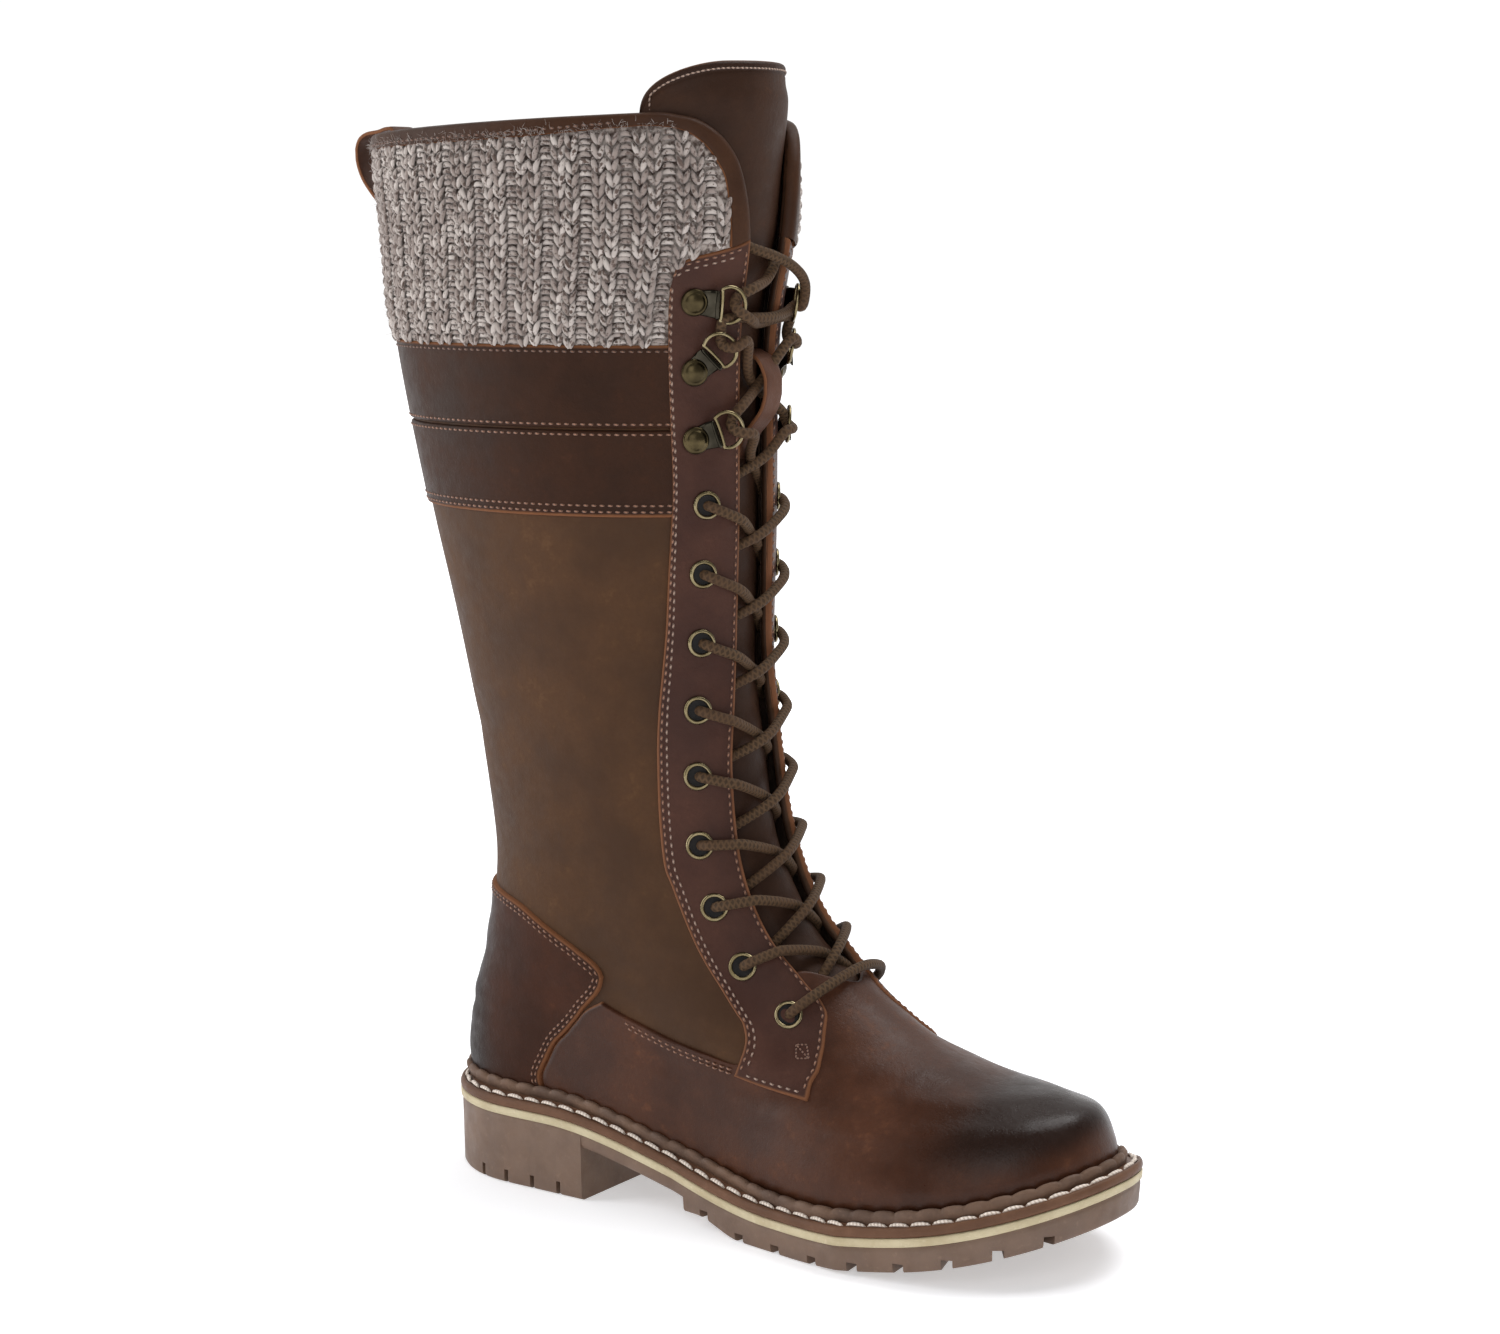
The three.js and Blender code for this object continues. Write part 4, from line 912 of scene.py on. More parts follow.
def vamp():
    # The vamp with its wings, from the counter round the toe: its height falls from the wings' to a
    # thin skin at the front, as in the part.
    half = arr(wingTop)
    halfIn = half.copy()
    halfIn[:, 0] *= -1
    sideLine = arr([q for q in counterFront if q[1] < 5.0] + [(.432, 4.97)])
    u = np.concatenate([np.linspace(0, 0.02, 6)[:-1], np.linspace(0.02, 0.98, 260), np.linspace(0.98, 1, 6)[1:]])
    v = np.concatenate([np.linspace(0, 0.94, 70)[:-1], np.linspace(0.94, 1, 14)])
    top = resample(curve(np.vstack([half, [(2 + q[0], q[1]) for q in halfIn[::-1][1:]]]), 400), u)
    left = resample(curve(sideLine, 200), v)
    low = resample(arr([(.285, .1), (1, .1), (2 - .285, .1)]), u)
    right = left.copy()
    right[:, 0] = 2 - right[:, 0]
    grid = spanned(low, top, left, right, u, v)
    turn, row = grid[..., 0], grid[..., 1]
    flatPoints = formPoint(turn, row)
    height = thickness["overlay"] - 1.15 * ramp((flatPoints[..., 0] - 84) / 34)
    overlay("vamp_leather", turn, row, height, materials["vamp"], "overlay_leather",
            ("vamp_wing_lateral", "vamp_wing_medial"), ("left", "right", "top"), values={"burn": burnAt},
            raw=("left", "right"))


vamp()
stays = {}
for name, carry in (("lateral", arr), ("medial", inner)):
    lines = [carry(stayBottom), carry(stayFront), carry(stayTop), carry(stayRear)]
    turn, row = patch(*lines, 34, 260)
    if name == "medial":
        turn, row = turn[:, ::-1], row[:, ::-1]
    stays[name] = (turn, row)
    overlay(f"facing_{name}", turn, row, thickness["overlay"], materials["facing"], "facing_leather",
            (f"eyestay_{name}",), values={"burn": 0.0})

bandEdges = {"bottom": 9.95, "seam": 10.465, "top": 11.0}


def band(name, low, high, nodes, raw):
    # Rows between two heights, each run from one facing's rear edge round the back to the other.
    rows = edgeShares(28, 26)
    v = mix(low, high, rows)
    rear = edgeTurn(stayRear, np.clip(v, 3.6, 11.4)) + 0.012
    rearIn = edgeTurnIn(stayRear, np.clip(v, 3.6, 11.4)) - 0.012
    turn, row = between(rearIn, rear, np.linspace(0, 1, 200), v)
    overlay(name, turn, row, thickness["band"], materials["band"], "overlay_leather", nodes, ("bottom", "top"),
            values={"burn": 0.0}, raw=raw)


band("band_upper", bandEdges["seam"] + .004, bandEdges["top"], ("shaft_band_upper",), ("top",))
band("band_lower", bandEdges["bottom"], bandEdges["seam"] - .004, ("shaft_band_lower",), ("bottom",))


def backStrip():
    # Edges at a half width that narrows upward; thicker where it passes over the bands.
    v = np.concatenate([np.linspace(7.0, 9.9, 60), np.linspace(9.93, 10.02, 6), np.linspace(10.1, 11.02, 24)])
    across = edgeShares(13, 22)
    half = mix(6.5, 5.0, ramp((v - 9.5) / 1.4))
    fine = np.linspace(0, 0.2, 60)
    reach = np.array([np.interp(h, -formPoint(fine, r)[:, 1], fine) for h, r in zip(half, v)])
    turn = reach[:, None] * (1 - 2 * across)[None, :]
    row = np.broadcast_to(v[:, None], turn.shape)
    height = 1.1 + 1.1 * ramp((row - 9.9) / 0.08)
    overlay("back_strip_leather", turn[:, ::-1], row, height, materials["band"], "shaft_leather", ("back_strip",),
            ("left", "right"), values={"burn": 0.6})


backStrip()


def strap(points, half, thick, normals, name, material, slot, replaces, burn=0.1):
    # A flat leather strap swept along a line, with softly squared edges.
    p, f, v = tube(points, half, 20, thick / (2 * half), normals, boxy=0.35)
    ring = v["ring"] * 2 * np.pi
    side = np.abs(np.cos(ring))
    return piece(name, p, f, material, slot, replaces, {"edge": np.where(side > 0.9, 0.3, 3.0), "burn": burn})


def ruled(inner, outer, profile, count):
    # A strip between two lines in turn and row: the profile gives, across it, a share and a height.
    a, b = resample(curve(inner, 300), np.linspace(0, 1, count)), resample(curve(outer, 300), np.linspace(0, 1, count))
    share, height = np.array(profile).T
    grid = a[None] + (b - a)[None] * share[:, None, None]
    return grid[..., 0], grid[..., 1], np.broadcast_to(height[:, None], grid.shape[:2])


def loopLine(line):
    # A line given from the back round the outer side, carried on round the inner side.
    p, q = arr(line), inner(line)
    return np.vstack([p[::-1], q[1:]])


rimProfile = [(0, -0.4), (0, 0.9), (0.01, 1.6), (0.035, 2.15), (0.08, 2.45), (0.16, 2.55), (0.3, 2.5), (0.5, 2.45),
              (0.68, 2.35), (0.8, 2.1), (0.9, 1.6), (0.97, 0.9), (1.01, 0.0), (1.02, -1.0), (1.0, -2.0), (0.93, -2.9),
              (0.82, -3.3), (0.6, -3.45), (0.3, -3.4), (0.05, -3.2), (0.0, -2.6)]
turn, row, height = ruled(loopLine(bindingInner), loopLine(collarOuter), rimProfile, 420)
row = np.minimum(row, 13.1)
bindingPoints = formPoint(turn, row) + formNormal(turn, row) * height[..., None]
lie = np.linalg.norm(bindingPoints - bindingPoints[1:2], axis=-1)
piece("binding_leather", bindingPoints, quads(*turn.shape), materials["bindingLeather"], "overlay_leather",
      ("collar_binding",),
      {"edge": np.where(np.arange(len(rimProfile))[:, None] < 4, 0.45, 3.0 + lie).ravel(), "burn": 0.1})


# Knit cuff
# Column width and course height in mm, lowest and highest ring row, points and sides of a leg, the
# cuff's bulge in mm, and how far the yarn stands off the form.
knit = {"column": 4.6, "course": 3.9, "low": 10.98, "high": 12.81, "legs": 6, "sides": 7, "bulge": 0.8, "lift": 1.1}
millimetresPer = {"turn": 215, "row": 40, "cuffRow": 36}  # near the collar


def cuffLimit(v):
    # The knit's outer-side front edge: under the facing's rear and top edges low down, behind the
    # binding's corner higher up.
    stay = edgeTurn(stayRear + stayTop[1:], v) + 0.014
    corner = edgeTurn([q for q in bindingInner if q[0] > 0.74], np.clip(v, 11.8, 12.85)) + 0.006
    return np.minimum(stay, corner)


def stayGap(side, row):
    # Distance in mm from the facing's rear or top edge, whichever is the further.
    behind = (edgeTurn(stayRear, np.minimum(row, 11.5)) - side) * millimetresPer["turn"]
    return np.maximum(behind, (row - np.interp(side, *arr(stayTop).T)) * millimetresPer["row"])


def cuffBulge(turn, row):
    # A power of a half sine from the cuff's foot to its top, flattened near the facing.
    up = np.clip((row - knit["low"]) / 1.87, 0, 1)
    return knit["bulge"] * np.sin(np.pi * up) ** 0.7 * ramp((stayGap(np.abs(turn), row) + 1) / 8)


def knitBase():
    # The sheet behind the stitches, at the form's height plus the bulge; its dark mottling is painted shade in the
    # gaps between stitches, its light mottling the yarn's colour.
    v = np.concatenate([np.linspace(10.97, 11.46, 16), np.linspace(11.48, 11.84, 30), np.linspace(11.87, 12.9, 34)])
    limit = np.minimum(cuffLimit(v), 0.9)
    limitIn = edgeTurnIn(np.column_stack([limit, v]), v)
    turn, row = between(limitIn, limit, np.linspace(0, 1, 240), v)
    points = formPoint(turn, row) + formNormal(turn, row) * (0.8 + cuffBulge(turn, row))[..., None]
    piece("knit_base_gap_shade", points, quads(*turn.shape), materials["knitBase"], "knit", ("knit_cuff",))


def knitStitches():
    # Two columns of V stitches, then a sunken column of short bars, all round the cuff. Every leg is
    # a plump tapered tube laid in the surface's own directions: across, up and out.
    fine = np.linspace(-0.9, 0.9, 1200)
    mid = formPoint(fine, np.full(1200, 12.0))
    run = travelled(mid)
    columns = np.arange(0, run[-1], knit["column"])
    columnTurn = np.interp(columns, run, fine)
    fineRow = np.linspace(10.9, 13, 400)
    up = formPoint(np.zeros(400), fineRow)
    climb = travelled(up)
    start, end = np.interp(knit["low"], fineRow, climb) + 2.4, np.interp(knit["high"], fineRow, climb) - 2.0
    courses = np.linspace(start, end, round((end - start) / knit["course"]) + 1)
    courseRow = np.interp(courses, climb, fineRow)
    ct, cr = np.meshgrid(columnTurn, courseRow)
    kind = np.broadcast_to(np.arange(len(columns)) % 3, ct.shape)
    phase = np.broadcast_to((np.arange(len(columns)) * 0.37) % 1, ct.shape)
    cr = cr + (phase - 0.5) * 0.02
    side = np.abs(ct)
    gap = stayGap(side, cr)
    corner = [q for q in bindingInner if q[0] > 0.74]
    room = np.minimum(edgeTurn(corner, cr) - side, 0.3) * millimetresPer["turn"]
    roof = (np.interp(side, *arr([q for q in bindingInner if q[1] > 12.5]).T) - cr) * millimetresPer["cuffRow"]
    inside = (gap > 1.1) & ((room > 1.3) | (cr < 12.1) & (side < 0.874)) & (roof > 1.2)
    # Low near the facing, the bands and the binding, full elsewhere.
    front = np.minimum(gap, np.where(cr < 11.9, 60, room))
    full = (0.45 + 0.55 * ramp(front / 8)) * (0.5 + 0.5 * ramp(np.minimum(roof, (cr - knit["low"]) * 38) / 7))
    ct, cr, kind, full = ct[inside], cr[inside], kind[inside], full[inside]
    count = len(ct)
    t = np.linspace(0, 1, knit["legs"])
    legs = []
    for side in (-1, 1):
        a = side * (0.22 + 1.95 * t ** 0.9)
        b = -2.1 + 4.7 * t
        h = 0.2 + 1.1 * np.sin(np.pi * np.clip(t * 0.94 + 0.06, 0, 1)) ** 0.8
        radius = 1.04 * np.sin(np.pi * (0.12 + 0.82 * t)) ** 0.6
        legs.append((kind < 2, a, b, h, radius, side))
    s = np.linspace(0, 1, knit["legs"])
    for lift in (-1.0, 0.95):
        legs.append((kind == 2, -2.1 + 4.2 * s, lift + 0.75 * np.sin(np.pi * s), 0.1 + 0.6 * np.sin(np.pi * s),
                     0.35 + 0.6 * np.sin(np.pi * s) ** 0.7, 1))
    angle = circle(knit["sides"])
    points, tones, runs, rings, total = [], [], [], [], 0
    for chosen, a, b, h, radius, side in legs:
        n = int(chosen.sum())
        jitter = random.normal(0, 1, (n, 5))
        size = 1 + 0.06 * jitter[:, 0]
        da = a[None] * (1 + 0.05 * jitter[:, 1:2]) + 0.12 * jitter[:, 2:3]
        db = b[None] * size[:, None] + 0.16 * jitter[:, 3:4]
        dh = h[None] * full[chosen][:, None] * (1 + 0.08 * jitter[:, 4:5])
        rr = radius[None] * (0.82 + 0.18 * full[chosen][:, None]) * (1 + 0.05 * jitter[:, 0:1])
        along = np.stack([np.gradient(da, axis=1), np.gradient(db, axis=1), np.gradient(dh, axis=1)], -1)
        along = unit(along)
        out = np.broadcast_to([0.0, 0.0, 1.0], along.shape)
        aside = unit(np.cross(along, out))
        out = np.cross(aside, along)
        centre = np.stack([da, db, dh], -1)
        ring = centre[:, :, None] + around(aside, out, angle, 0.85) * rr[:, :, None, None]
        turns, rows = ct[chosen], cr[chosen]
        base = formPoint(turns, rows)
        normal = formNormal(turns, rows)
        ahead = unit(formPoint(turns + 0.004, rows) - formPoint(turns - 0.004, rows))
        rise = unit(np.cross(normal, ahead))
        lift = knit["lift"] * ramp((stayGap(np.abs(turns), rows) + 2) / 4) + cuffBulge(turns, rows)
        world = (base[:, None, None] + ahead[:, None, None] * ring[..., :1] + rise[:, None, None] * ring[..., 1:2]
                 + normal[:, None, None] * (ring[..., 2:3] + lift[:, None, None, None]))
        points.append(world.reshape(-1, 3))
        shape = world.shape[:3]
        tones.append(np.broadcast_to(random.random(n)[:, None, None], shape).ravel())
        runs.append(np.broadcast_to(np.linspace(0, 6.5, knit["legs"])[None, :, None], shape).ravel())
        rings.append(np.broadcast_to((side * angle / (2 * np.pi))[None, None, :], shape).ravel())
        total += n
    faces = copies(knit["legs"], knit["sides"], total)
    piece("knit_stitches", np.vstack(points), faces[:, ::-1], materials["knit"], "knit", (),
          {"tone": np.concatenate(tones), "run": np.concatenate(runs), "ring": np.concatenate(rings)})
    print("knit stitches", count, "legs", total)


knitBase()
knitStitches()


def knitFuzz():
    # Loose hairs that stand off the yarn, most along the knit's top edge.
    count = 2600
    turns = random.uniform(-0.78, 0.78, count)
    rows = np.where(random.random(count) < 0.4, random.normal(12.84, 0.03, count), random.uniform(11.0, 12.84, count))
    base, normal = formPoint(turns, rows), formNormal(turns, rows)
    base = base + normal * (2.6 + cuffBulge(turns, rows))[:, None]
    ahead = unit(formPoint(turns + 0.004, rows) - formPoint(turns - 0.004, rows))
    rise = unit(np.cross(normal, ahead))
    lean = random.normal(0, 1, (count, 3)) * (0.8, 0.8, 0.25) + (0, 0.25, 0.6)
    way = unit(ahead * lean[:, :1] + rise * lean[:, 1:2] + normal * lean[:, 2:3])
    size = random.uniform(0.9, 2.5, count)
    bend = unit(np.cross(way, random.normal(0, 1, (count, 3))))
    t = np.linspace(0, 1, 4)
    reach = t[None, :, None] * size[:, None, None]
    line = base[:, None] + way[:, None] * reach + bend[:, None] * (t ** 2)[None, :, None] * size[:, None, None] * 0.35
    ring = around(bend, np.cross(way, bend), circle(3))[:, None]
    grid = line[:, :, None] + ring * (0.07 * (1 - 0.6 * t))[None, :, None, None]
    piece("knit_fuzz", grid.reshape(-1, 3), copies(4, 3, count), materials["knit"], "knit", (),
          {"tone": np.repeat(random.random(count), 12), "run": 0.0, "ring": 0.0})


knitFuzz()
print("knit made")

# Tongue, keeper and pull loop
tongueShape = {"thick": 3.5, "bottom": 5.35, "top": 13.8, "shoulder": 0.42, "corner": 0.8, "sunk": 2.6, "below": 0.2,
               "above": 0.275, "seam": 3.4}


def tongueDepth(row):
    # How far the tongue lies under the form: deeper along the throat than at its ends.
    return wall + 0.9 + tongueShape["sunk"] * ramp((row - 5.9) / 1.1) * (1 - ramp((row - 11.9) / 1.1))


def tonguePlace(across, up):
    # Across runs -1 to 1, up 0 to 1; the top falls by a quarter circle beyond its shoulders.
    s = tongueShape
    fall = np.maximum(0, np.abs(across) - s["shoulder"]) / (1 - s["shoulder"])
    top = s["top"] - s["corner"] * (1 - np.sqrt(np.maximum(1 - fall ** 2, 0)))
    row = mix(s["bottom"], top, up)
    return 1 + across * mix(s["below"], s["above"], ramp((row - 8) / 5)), row


def makeTongue():
    # Two skins about the tongue's middle; half thickness rounds to nothing at the edge, with a groove for the seam.
    across = np.sin(np.linspace(-1, 1, 90) * np.pi / 2)[None, :]
    up = np.concatenate([np.linspace(0, 0.97, 150)[:-1], 1 - 0.03 * (1 - np.linspace(0, 1, 14)) ** 1.6])[:, None]
    turn, row = tonguePlace(across, up)
    flatPoints = formPoint(turn, row)
    edge = edgeDistance(flatPoints, ("left", "right", "top", "bottom"))
    roundOff = np.sqrt(1 - (1 - np.clip(edge / 1.9, 0, 1)) ** 2)
    seam = np.exp(-((edge - tongueShape["seam"]) / 0.8) ** 2)
    pad = 0.9 * ramp((edge - 5) / 7)
    waves = 0.35 * np.sin(row * 5.3 + 1) * ramp((edge - 4) / 10)
    half = tongueShape["thick"] / 2 * roundOff
    middle = -tongueDepth(row) - tongueShape["thick"] / 2
    normal = formNormal(turn, np.minimum(row, 13.9))
    front = flatPoints + normal * (middle + half - 0.5 * seam + np.minimum(pad, 0.9) * roundOff + waves)[..., None]
    back = flatPoints + normal * (middle - half - pad * 0.6)[..., None]
    n, c = turn.shape
    faces = np.vstack([quads(n, c), quads(n, c)[:, ::-1] + n * c])
    made = piece("tongue_pad", np.vstack([front.reshape(-1, 3), back.reshape(-1, 3)]), faces[:, ::-1],
                 materials["tongue"], "facing_leather", ("tongue",),
                 {"edge": np.tile(edge.ravel() + 1.0, 2), "burn": 0.05})
    merge(made, 0.02)


def merge(made, distance):
    # Joins points closer than this distance, in mm, and turns the faces outward.
    work = bmesh.new()
    work.from_mesh(made.data)
    bmesh.ops.remove_doubles(work, verts=work.verts, dist=distance * mm)
    bmesh.ops.recalc_face_normals(work, faces=work.faces)
    work.to_mesh(made.data)
    work.free()


makeTongue()
keeper = {"half": 5.0, "thick": 1.8}
frontAt = formPoint(np.array(1.0), np.array(11.0))[0] - tongueDepth(np.array(11.0))
keeperLine = curve([(0.4, 308.5), (2.4, 308.2), (7.5, 305.6), (10.7, 299.8), (11.0, 294.6), (9.2, 288.4), (5.6, 283.5),
                    (2.4, 279.6), (0.6, 275.0)], 50)
keeperPoints = np.column_stack([frontAt + keeperLine[:, 0], np.linspace(3.2, 0.8, 50), keeperLine[:, 1]])
keeperNormals = np.cross(unit(np.gradient(keeperPoints, axis=0)), (0, -1.0, 0))
strap(keeperPoints, keeper["half"], keeper["thick"], keeperNormals, "keeper_strap", materials["strapLeather"],
      "overlay_leather", ("tongue_keeper",))

pullLoop = {"half": 6.5, "thick": 1.7}
loopLineXZ = curve([(-62.2, 362), (-63.2, 377), (-66.2, 387.2), (-69.5, 388.4), (-74, 387.4), (-79.6, 386.6),
                    (-83.0, 384.6), (-84.6, 380.6), (-84.0, 375.5), (-81.6, 370), (-77.6, 365), (-73.2, 360.5),
                    (-69.6, 356.5), (-67.0, 352), (-65.2, 346)], 90)
loopPoints = np.column_stack([loopLineXZ[:, 0], np.zeros(90), loopLineXZ[:, 1]])
loopNormals = np.cross(unit(np.gradient(loopPoints, axis=0)), (0, -1.0, 0))
strap(loopPoints, pullLoop["half"], pullLoop["thick"], loopNormals, "pull_loop_strap", materials["strapLeather"],
      "overlay_leather", ("pull_loop",), 0.25)
print("tongue made")

# Storm strip and welt stitches
stormLobe = {"pitch": 8.0, "tall": 1.2, "deep": 0.7}


def stormStrip():
    # A rounded profile carried round the feather line; it swells in lobes as the sine of the run.
    turns = (np.arange(900) + 0.5) / 450 - 1
    base = formPoint(turns, np.zeros(900))
    run = travelled(base)
    lobe = np.abs(np.sin(np.pi * run / stormLobe["pitch"]))
    rings = []
    for lift, grow in ((-0.8, 3.2), (0.6, 3.5), (1.8, 3.5), (2.8, 3.3), (3.5, 2.8), (3.9, 2.1), (3.8, 1.2), (3.1, 0.2),
                       (1.0, -0.2)):
        wavy = lift + (stormLobe["tall"] * lobe ** 0.5 - 0.5) * ramp(lift / 3.4)
        out = grow + stormLobe["deep"] * lobe ** 0.6 * ramp(lift / 2.4) - 0.4
        p = formPoint(turns, wavy.clip(0) / 10) + formNormal(turns, np.zeros(900)) * np.broadcast_to(out, 900)[:, None]
        rings.append(np.column_stack([p[:, :2], weltZ(p[:, 0]) + wavy]))
    piece("storm_strip_ribbed", np.vstack(rings), quads(len(rings), 900, closed=True), materials["strip"],
          "storm_strip", ("storm_strip",))


stormStrip()


def stitchMesh(name, centres, along, up, size, radius, material, slot, replaces=()):
    # Short thread humps that dip at both ends, all made at once: size is the length of one.
    at = np.array([-0.5, -0.38, -0.15, 0.15, 0.38, 0.5])
    fat = np.array([0.3, 0.8, 1.0, 1.0, 0.8, 0.3])
    hump = np.array([-0.9, -0.1, 0.3, 0.3, -0.1, -0.9])
    sides = 6
    angle = circle(sides)
    along, up = unit(along), unit(up)
    aside = unit(np.cross(along, up))
    up = np.cross(aside, along)
    line = (centres[:, None] + along[:, None] * (at * size)[None, :, None]
            + up[:, None] * (hump * radius)[None, :, None])
    grid = line[:, :, None] + around(aside, up, angle, 0.8)[:, None] * (fat * radius)[None, :, None, None]
    faces = copies(len(at), sides, len(centres))
    shape = grid.shape[:3]
    return piece(name, grid.reshape(-1, 3), faces[:, ::-1], material, slot, replaces,
                 {"run": np.broadcast_to((at * size)[None, :, None], shape).ravel(),
                  "ring": np.broadcast_to((angle / 6.283)[None, None], shape).ravel()})


weltStitch = {"pitch": 8.0, "size": 7.9, "radius": 0.8, "inset": 2.0, "height": 6.95, "slant": 0.09}


def weltStitches():
    # Places at even steps along the sole's outline, moved in from its edge; each stitch is turned a
    # little outward from its run.
    t = np.linspace(-0.995, 0.995, 4000)
    ring = solePoint(t, np.full(4000, -weltStitch["inset"]))
    line = np.column_stack([ring, stripeZ(ring[:, 0]) + weltStitch["height"]])
    run = length(line)
    count = int(run[-1] / weltStitch["pitch"])
    at = (np.arange(count) + 0.5) * run[-1] / count
    centres, after, before = (pointsAt(line, run, at + d) for d in (0, 1, -1))
    along = unit(after - before)
    side = np.cross(along, (0, 0, 1.0))
    outward = side * np.sign(np.sum(side[:, :2] * (centres[:, :2] - (100, 3)), 1))[:, None]
    stitchMesh("welt_stitches", centres, along + outward * weltStitch["slant"], outward * 0.35 + np.array([0, 0, 1.0]),
               weltStitch["size"], weltStitch["radius"], materials["paleThread"], "welt")


weltStitches()


def offsetLine(turn, row, side, distance, skip=0.0):
    # A line that runs at a distance in mm from one side of an overlay's grid.
    if side in ("bottom", "top"):
        turn, row = turn.T, row.T
        side = {"bottom": "left", "top": "right"}[side]
    if side == "right":
        turn, row = turn[:, ::-1], row[:, ::-1]
    flatPoints = formPoint(turn, row)
    run = np.concatenate([np.zeros((len(turn), 1)),
                          np.cumsum(np.linalg.norm(np.diff(flatPoints, axis=1), axis=-1), 1)], 1)
    line = np.array([(np.interp(distance, r, t), np.interp(distance, r, v)) for r, t, v in zip(run, turn, row)])
    if skip:
        total = length(line)
        keep = (total > skip) & (total < total[-1] - skip)
        line = line[keep]
    return line


seamStitch = {"pitch": 2.9, "size": 2.1, "radius": 0.34}


def seam(lines, height, pitch):
    # Stitch centres, directions and normals along lines in turn and row.
    centres, alongs, ups = [], [], []
    for line in lines:
        run = length(line)
        count = max(int(run[-1] / pitch), 1)
        at = (np.arange(count) + 0.5) * run[-1] / count
        (turn, row), after, before = (pointsAt(line, run, at + d).T for d in (0, 0.5, -0.5))
        centres.append(raised(turn, row, height))
        alongs.append(formPoint(*after) - formPoint(*before))
        ups.append(formNormal(turn, row))
    return np.vstack(centres), np.vstack(alongs), np.vstack(ups)


def stitched(name, lines, height, material, slot, pitch=seamStitch["pitch"], size=seamStitch["size"],
             radius=seamStitch["radius"]):
    # A row of stitches along each line, on leather of this height.
    stitchMesh(name, *seam(lines, height, pitch), size, radius, material, slot)


for name in ("lateral", "medial"):
    turn, row = stays[name]
    front, rear = ("left", "right") if name == "medial" else ("right", "left")
    outerRow = [offsetLine(turn, row, rear, 2.1, 3), offsetLine(turn, row, "top", 2.1, 3),
                offsetLine(turn, row, front, 2.0, 3)]
    innerRow = [offsetLine(turn, row, rear, 4.1, 5), offsetLine(turn, row, "top", 4.1, 5),
                offsetLine(turn, row, "bottom", 2.4, 3)]
    stitched(f"facing_stitches_{name}", outerRow, thickness["overlay"], materials["tanThread"], "facing_leather")
    stitched(f"facing_stitches_inner_{name}", innerRow, thickness["overlay"], materials["dotThread"], "facing_leather")


def aside(line, distance):
    # A line in turn and row moved sideways by a distance in mm, to the left of its run seen from outside.
    turn, row = line[:, 0], line[:, 1]
    here, e = formPoint(turn, row), 0.002
    byTurn, byRow = (formPoint(turn + e, row) - here) / e, (formPoint(turn, row + 5 * e) - here) / (5 * e)
    want = unit(np.cross(formNormal(turn, row), np.gradient(here, axis=0))) * distance
    aa, ab, bb = (byTurn ** 2).sum(1), (byTurn * byRow).sum(1), (byRow ** 2).sum(1)
    wa, wb = (want * byTurn).sum(1), (want * byRow).sum(1)
    scale = aa * bb - ab ** 2
    return np.column_stack([turn + (wa * bb - wb * ab) / scale, row + (wb * aa - wa * ab) / scale])


def fromEnds(points, skip):
    # The part of a line more than skip mm from both ends.
    run = length(points)
    return points[(run > skip) & (run < run[-1] - skip)]


def ringLine(row, low, high):
    # A level line between two turns.
    return np.column_stack([np.linspace(low, high, 300), np.full(300, row)])


bandRows = [("bottom", 0.035), ("bottom", 0.072), ("seam", 0.03), ("seam", -0.03), ("top", -0.05)]
for k, (edge, shift) in enumerate(bandRows):
    row = bandEdges[edge] + shift
    reach = edgeTurn(stayRear, row) + 0.004
    parts = [ringLine(row, 0.045, reach), ringLine(row, -0.045, -reach)]
    stitched(f"band_stitches_{k}", parts, thickness["band"], materials["dullThread" if edge == "top" else "tanThread"],
             "overlay_leather")
bindingSeam = [(a + 0.010, b + 0.01) if a >= 0.8 else (a, b + (0.052 if a < 0.76 else 0.03)) for a, b in bindingInner]
stitched("binding_stitches", [loopLine(bindingSeam)[8:-8]], 2.5, materials["dullThread"], "overlay_leather")
counterLine = curve(counterFront + counterTop[1:], 260)
wingLine = curve([q for q in wingTop if q[0] <= 0.585], 100)
for k, d in enumerate((1.9, 3.6)):
    moved = fromEnds(aside(counterLine, d), 3)
    stitched(f"counter_stitches_{k}", [moved, moved * (-1, 1)], thickness["overlay"], materials["tanThread"],
             "overlay_leather")
    moved = aside(wingLine, -d)
    moved = moved[moved[:, 0] > 0.452 - 0.004 * k]
    stitched(f"wing_stitches_{k}", [moved, moved * (-1, 1)], thickness["overlay"], materials["tanThread"],
             "overlay_leather")


boxStitch = [(.716, 4.86), (.733, 4.88), (.708, 4.52), (.689, 4.49), (.716, 4.86), (.708, 4.52)]
throatDots = [(.886, 6.5), (.9, 6.38), (.91, 6.26), (.912, 6.12)]
stitched("facing_box_stitches", [arr(boxStitch), arr(boxStitch) * (-1, 1)], thickness["overlay"],
         materials["dullThread"], "facing_leather", pitch=1.3, size=1.15, radius=0.3)
dotTurn, dotRow = arr(throatDots).T
dotNormals = formNormal(dotTurn, dotRow)
dotPlaces = formPoint(dotTurn, dotRow) + dotNormals * (-0.05 - tongueDepth(dotRow))[:, None]
stitchMesh("throat_stitches", dotPlaces, np.gradient(formPoint(dotTurn, dotRow), axis=0), dotNormals, 1.3, 0.4,
           materials["paleThread"], "facing_leather")


